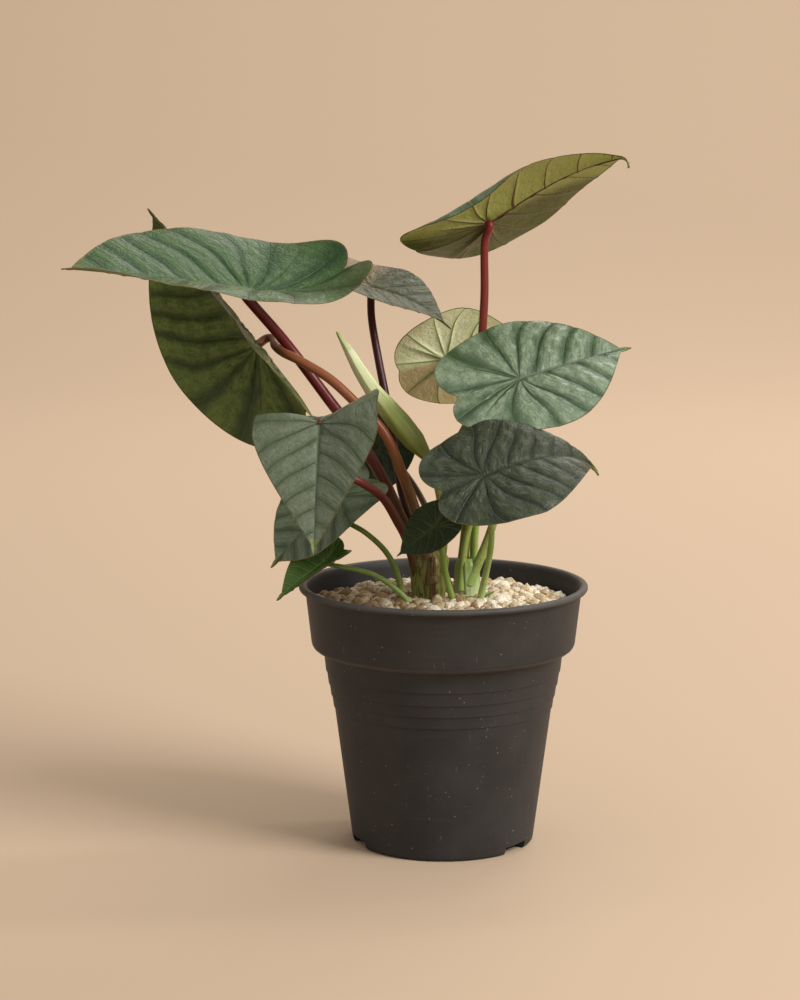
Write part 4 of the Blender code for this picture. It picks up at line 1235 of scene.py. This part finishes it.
def gravel_material(name):
    """Porous pale granules: each has its own tone, from chalk to tan and pinkish brown, browner towards the left,
    partly as dirt and partly as painted shade, and a little browner towards the back.
    """
    paint = Paint(name)
    place = paint.place()
    x, y, _ = paint.parts(place)
    tone = paint.attribute("tone")
    cloud = paint.noise(place, 650, 4.0)
    # Painted shade, partly dirt: the tone runs browner towards the left, where the leaves shade the gravel, and a
    # little browner towards the back
    tone_and_left_shade = tone + x * -4.5 + y * 0.6 + (cloud - 0.5) * 0.16
    colour = paint.ramp(tone_and_left_shade, (0.0, srgb(236, 226, 206)), (0.34, srgb(218, 202, 172)),
                        (0.6, srgb(196, 174, 138)), (0.82, srgb(172, 142, 104)), (1.0, srgb(138, 108, 76)))
    pores = paint.cells(place, 1500, "F1")
    pits = pores.step(0.36, 0.1) * cloud.step(0.4, 0.6)
    colour = paint.mix(pits * 0.45, colour, srgb(150, 116, 86))
    normal = paint.bump(cloud - pits * 0.8, 1.0, 0.0011)
    return paint.finish(colour, 0.86 + cloud * 0.12, normal)


def dust_material(name):
    """Fine dust and crumbs between the granules."""
    paint = Paint(name)
    cloud = paint.noise(paint.place(), 900, 5.0)
    colour = paint.ramp(cloud, (0.3, srgb(84, 60, 44)), (0.7, srgb(168, 136, 104)))
    return paint.finish(colour, 0.9 + cloud * 0.05, paint.bump(cloud, 0.8, 0.001))


def gravel_object(name, spacing, smallest, largest, seed):
    """All the granules, scattered over two low mounds."""
    kinds = bpy.data.collections.new("pebble_kinds")
    for number in range(PEBBLE_KINDS):
        kinds.objects.link(pebble(f"pebble_{number}", number + seed, 1.0))
    points, faces = [], []
    for below, inside in GRANULE_BEDS:
        layer, sides = gravel_layer(GRAVEL_TOP - below, GRAVEL_RADIUS - inside)
        faces += [tuple(i + len(points) for i in face) for face in sides]
        points += layer
    finish = gravel_material("pumice")
    obj = mesh_object(name, points, faces, [finish])
    values = {"Pebbles": kinds, "Spacing": spacing, "Smallest": smallest, "Largest": largest, "Seed": seed,
              "Finish": finish}
    run_tree(obj, gravel_tree(), values)
    for kind in list(kinds.objects):
        bpy.data.objects.remove(kind, do_unlink=True)
    bpy.data.collections.remove(kinds)
    return obj


def bed_object(name, material):
    """The fine stuff that closes the gaps under the granules."""
    count, rings = 96, 30
    below, inside = DUST_BED
    points, faces = gravel_layer(GRAVEL_TOP - below, GRAVEL_RADIUS - inside, count, rings)
    points = [(x, y, z + 0.0004 * math.sin(x * 1900) * math.sin(y * 1700)) for x, y, z in points]
    low = MIX_TOP + 0.0003
    first = len(points)
    points += [(x, y, low) for x, y, _ in points[-count:]] + [(0, 0, low)]
    faces += band(first - count, first, count)
    faces += [(first + (j + 1) % count, first + j, first + count) for j in range(count)]
    return mesh_object(name, points, faces, [material])


# Settings and operators

def length(name, description, default):
    return bpy.props.FloatProperty(
        name=name, description=description, subtype="DISTANCE", unit="LENGTH", default=default)


def shade(name, description, default):
    return bpy.props.FloatVectorProperty(
        name=name, description=description, subtype="COLOR", size=3, min=0, max=1, default=srgb(*default)[:3])


class PotSettings(bpy.types.PropertyGroup):
    colour: shade("Plastic", "Colour of the pot's plastic", (41, 40, 40))
    notch_width: length("Notch width", "Width of each drain notch", 0.0135)
    notch_height: length("Notch height", "Height of each drain notch", 0.0035)


class GravelSettings(bpy.types.PropertyGroup):
    spacing: length("Spacing", "Least distance between granules", 0.0024)
    smallest: length("Smallest", "Size of the smallest granules", 0.003)
    largest: length("Largest", "Size of the largest granules", 0.0078)
    seed: bpy.props.IntProperty(name="Seed", description="Which scatter of granules is used", default=4)


class LeafSettings(bpy.types.PropertyGroup):
    thickness: bpy.props.FloatProperty(
        name="Thickness", description="Thickness of a blade between its veins, in millimetres", default=0.4,
        min=0.1, max=1.0)
    brightness: bpy.props.FloatProperty(
        name="Brightness", description="Multiplies the colours of all the blades", default=1.0,
        min=0.5, max=2.0)
    sheen: bpy.props.FloatProperty(
        name="Sheen", description="Weight of the waxy coat", subtype="FACTOR", default=0.18, min=0, max=1)


class StageSettings(bpy.types.PropertyGroup):
    floor: shade("Floor", "Colour of the floor and backdrop", (193, 171, 147))
    key: bpy.props.FloatProperty(
        name="Key light", description="Power of the large soft light", subtype="POWER", unit="POWER",
        default=29.0)
    fill: bpy.props.FloatProperty(
        name="Fill", description="Strength of the light from all round", default=0.56)


class ALOCASIA_OT_pot(bpy.types.Operator):
    """Makes the pot and dresses the potting mix in it"""
    bl_idname = "alocasia.pot"
    bl_label = "Pot and mix"

    def execute(self, context):
        wanted = context.scene.alocasia_pot
        finish = pot_material("pot_plastic", tuple(wanted.colour))
        pot = pot_object("nursery_pot", finish, wanted.notch_width, wanted.notch_height)
        grown(pot, "pot_plastic", "pot")
        mix = frame["nodes"]["potting_mix"]
        mix.data.materials.clear()
        mix.data.materials.append(mix_material("damp_mix"))
        return {"FINISHED"}


class ALOCASIA_OT_gravel(bpy.types.Operator):
    """Scatters the gravel over its bed"""
    bl_idname = "alocasia.gravel"
    bl_label = "Gravel"

    def execute(self, context):
        wanted = context.scene.alocasia_gravel
        sizes = (wanted.spacing, wanted.smallest, wanted.largest)
        grown(gravel_object("gravel_granules", *sizes, wanted.seed), "gravel", "gravel_dressing")
        grown(bed_object("gravel_dust", dust_material("gravel_dust")), "gravel", "gravel_dressing")
        return {"FINISHED"}


class ALOCASIA_OT_crowns(bpy.types.Operator):
    """Makes the two crowns, the dry sheath and the sprouts at their feet"""
    bl_idname = "alocasia.crowns"
    bl_label = "Crowns and sprouts"

    def execute(self, context):
        for which, (*_, marble, colours) in CROWNS.items():
            skin = crown_material(which + "_crown_skin", colours, marble)
            node = which + "_crown"
            grown(crown_object(node + "_bases", which, skin), slot_of(node), node)
        grown(sheath_object("dry_leaf_base", dry_material("dry_sheath")), "dry_sheath", "dry_sheath")
        for name, points in SPROUTS.items():
            path = smooth_path(points, 10)
            radii = np.linspace(1.1, 0.35, len(path))
            skin = stem_material(name + "_skin", ((170, 190, 120), (140, 170, 84), (110, 146, 60)))
            grown(stem_object(name + "_shoot", path, radii, SHOOT_SPACING, skin), slot_of(name), name)
        return {"FINISHED"}


class ALOCASIA_OT_petioles(bpy.types.Operator):
    """Makes every petiole from its foot to its blade"""
    bl_idname = "alocasia.petioles"
    bl_label = "Petioles"

    def execute(self, context):
        for name, (start, end, points, colours) in PETIOLES.items():
            node = name + "_petiole"
            grown(petiole_object(name, start, end, points, colours), slot_of(node), node)
        path = smooth_path(ROLL_STEM, 12)
        skin = stem_material("rolled_stem", ((120, 104, 56), (150, 150, 76), (170, 176, 90)))
        stem = stem_object("rolled_leaf_stem", path, np.linspace(2.0, 1.9, len(path)), STEM_SPACING, skin)
        grown(stem, slot_of("rolled_petiole"), "rolled_petiole")
        return {"FINISHED"}


class ALOCASIA_OT_blades(bpy.types.Operator):
    """Makes every open blade, and the one still rolled"""
    bl_idname = "alocasia.blades"
    bl_label = "Blades"

    def execute(self, context):
        wanted = context.scene.alocasia_leaves
        for name, row in BLADES.items():
            form = BLADE_FORM | row
            if form["width"] < SMALL_BLADE:
                form = form | SMALL_FORM
            bright, sheen = wanted.brightness, wanted.sheen * form["gloss"]
            face = blade_material(name + "_face", form, FINISHES[name], False, bright, sheen)
            below = UNDERSIDES.get(name, UNDERSIDE)
            under = blade_material(name + "_underside", form, below, True, bright, UNDERSIDE_SHEEN)
            node = name + "_blade"
            grown(blade_object(name + "_leaf", form, wanted.thickness, [face, under]), slot_of(node), node)
        grown(roll_object("rolled_leaf", roll_material("rolled_leaf")), "rolled_leaf", "rolled_blade")
        return {"FINISHED"}


class ALOCASIA_OT_stage(bpy.types.Operator):
    """Makes the floor and backdrop, the lights and the camera"""
    bl_idname = "alocasia.stage"
    bl_label = "Stage"

    def execute(self, context):
        wanted = context.scene.alocasia_stage
        make_floor(tuple(wanted.floor))
        make_lights(wanted.key, wanted.fill)
        make_camera()
        return {"FINISHED"}


def make_floor(colour):
    """A floor that sweeps up into a backdrop far behind."""
    paint = Paint("floor_paper")
    paint.finish((*colour, 1), 0.9, Specular_IOR_Level=0.2)
    sweep = [(SWEEP_START + SWEEP_RADIUS * math.sin(a), SWEEP_RADIUS * (1 - math.cos(a)))
             for a in np.linspace(0, math.pi / 2, 24)]
    profile = [(FLOOR_FRONT, 0.0), *sweep, (SWEEP_START + SWEEP_RADIUS, WALL_TOP)]
    points = [(x, y, z) for x in (-FLOOR_SIDE, FLOOR_SIDE) for y, z in profile]
    count = len(profile)
    faces = [(k, count + k, count + k + 1, k + 1) for k in range(count - 1)]
    floor = mesh_object("floor", points, faces, [paint.material])
    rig.stage(floor)


def make_lights(key, fill):
    for name, (place, target, size, share, colour) in LIGHTS.items():
        data = bpy.data.lights.new(name, "AREA")
        data.shape = "RECTANGLE"
        data.size, data.size_y = size
        data.energy = key * share
        data.color = colour
        light = bpy.data.objects.new(name, data)
        bpy.context.scene.collection.objects.link(light)
        light.location = place
        light.rotation_euler = (Vector(target) - Vector(place)).to_track_quat("-Z", "Y").to_euler()
    bpy.context.scene.view_settings.view_transform = "Standard"
    world = bpy.data.worlds.new("room")
    bpy.context.scene.world = world
    world.use_nodes = True
    air = world.node_tree.nodes["Background"]
    air.inputs["Color"].default_value = ROOM_COLOUR
    air.inputs["Strength"].default_value = fill


def make_camera():
    """In front of the plant, level with its upper leaves and looking a little down."""
    data = bpy.data.cameras.new("camera")
    data.lens = CAMERA_LENS
    data.sensor_width = CAMERA_SENSOR
    camera = bpy.data.objects.new("camera", data)
    bpy.context.scene.collection.objects.link(camera)
    camera.location = CAMERA_PLACE
    camera.rotation_euler = (math.radians(90 - CAMERA_TILT), 0, 0)
    bpy.context.scene.camera = camera


class ALOCASIA_PT_panel(bpy.types.Panel):
    """The plant's settings and the buttons that make each part of it"""
    bl_label = "Potted alocasia"
    bl_idname = "ALOCASIA_PT_panel"
    bl_space_type = "VIEW_3D"
    bl_region_type = "UI"
    bl_category = "Alocasia"

    def draw(self, context):
        for group, operators in GROUPS:
            box = self.layout.box()
            settings = getattr(context.scene, group, None)
            for key in (settings.bl_rna.properties.keys() if settings else ()):
                if key not in ("rna_type", "name"):
                    box.prop(settings, key)
            for operator in operators:
                box.operator(operator)


GROUPS = (
    ("alocasia_pot", ("alocasia.pot",)),
    ("alocasia_gravel", ("alocasia.gravel",)),
    ("alocasia_leaves", ("alocasia.crowns", "alocasia.petioles", "alocasia.blades")),
    ("alocasia_stage", ("alocasia.stage",)),
)
SETTINGS = {"alocasia_pot": PotSettings, "alocasia_gravel": GravelSettings, "alocasia_leaves": LeafSettings,
            "alocasia_stage": StageSettings}
CLASSES = (PotSettings, GravelSettings, LeafSettings, StageSettings, ALOCASIA_OT_pot, ALOCASIA_OT_gravel,
           ALOCASIA_OT_crowns, ALOCASIA_OT_petioles, ALOCASIA_OT_blades, ALOCASIA_OT_stage, ALOCASIA_PT_panel)


def register():
    for kind in CLASSES:
        bpy.utils.register_class(kind)
    for name, kind in SETTINGS.items():
        setattr(bpy.types.Scene, name, bpy.props.PointerProperty(type=kind))


def unregister():
    for name in SETTINGS:
        delattr(bpy.types.Scene, name)
    for kind in reversed(CLASSES):
        bpy.utils.unregister_class(kind)


def main():
    register()
    bpy.ops.alocasia.stage()
    bpy.ops.alocasia.pot()
    bpy.ops.alocasia.gravel()
    bpy.ops.alocasia.crowns()
    bpy.ops.alocasia.petioles()
    bpy.ops.alocasia.blades()
    sizes = {"frame": [list(corner) for corner in FRAME_BOX],
             "looks": [list(corner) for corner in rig.bounds()]}
    with open("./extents.json", "w") as file:
        json.dump(sizes, file, indent=1)


if __name__ == "__main__":
    main()
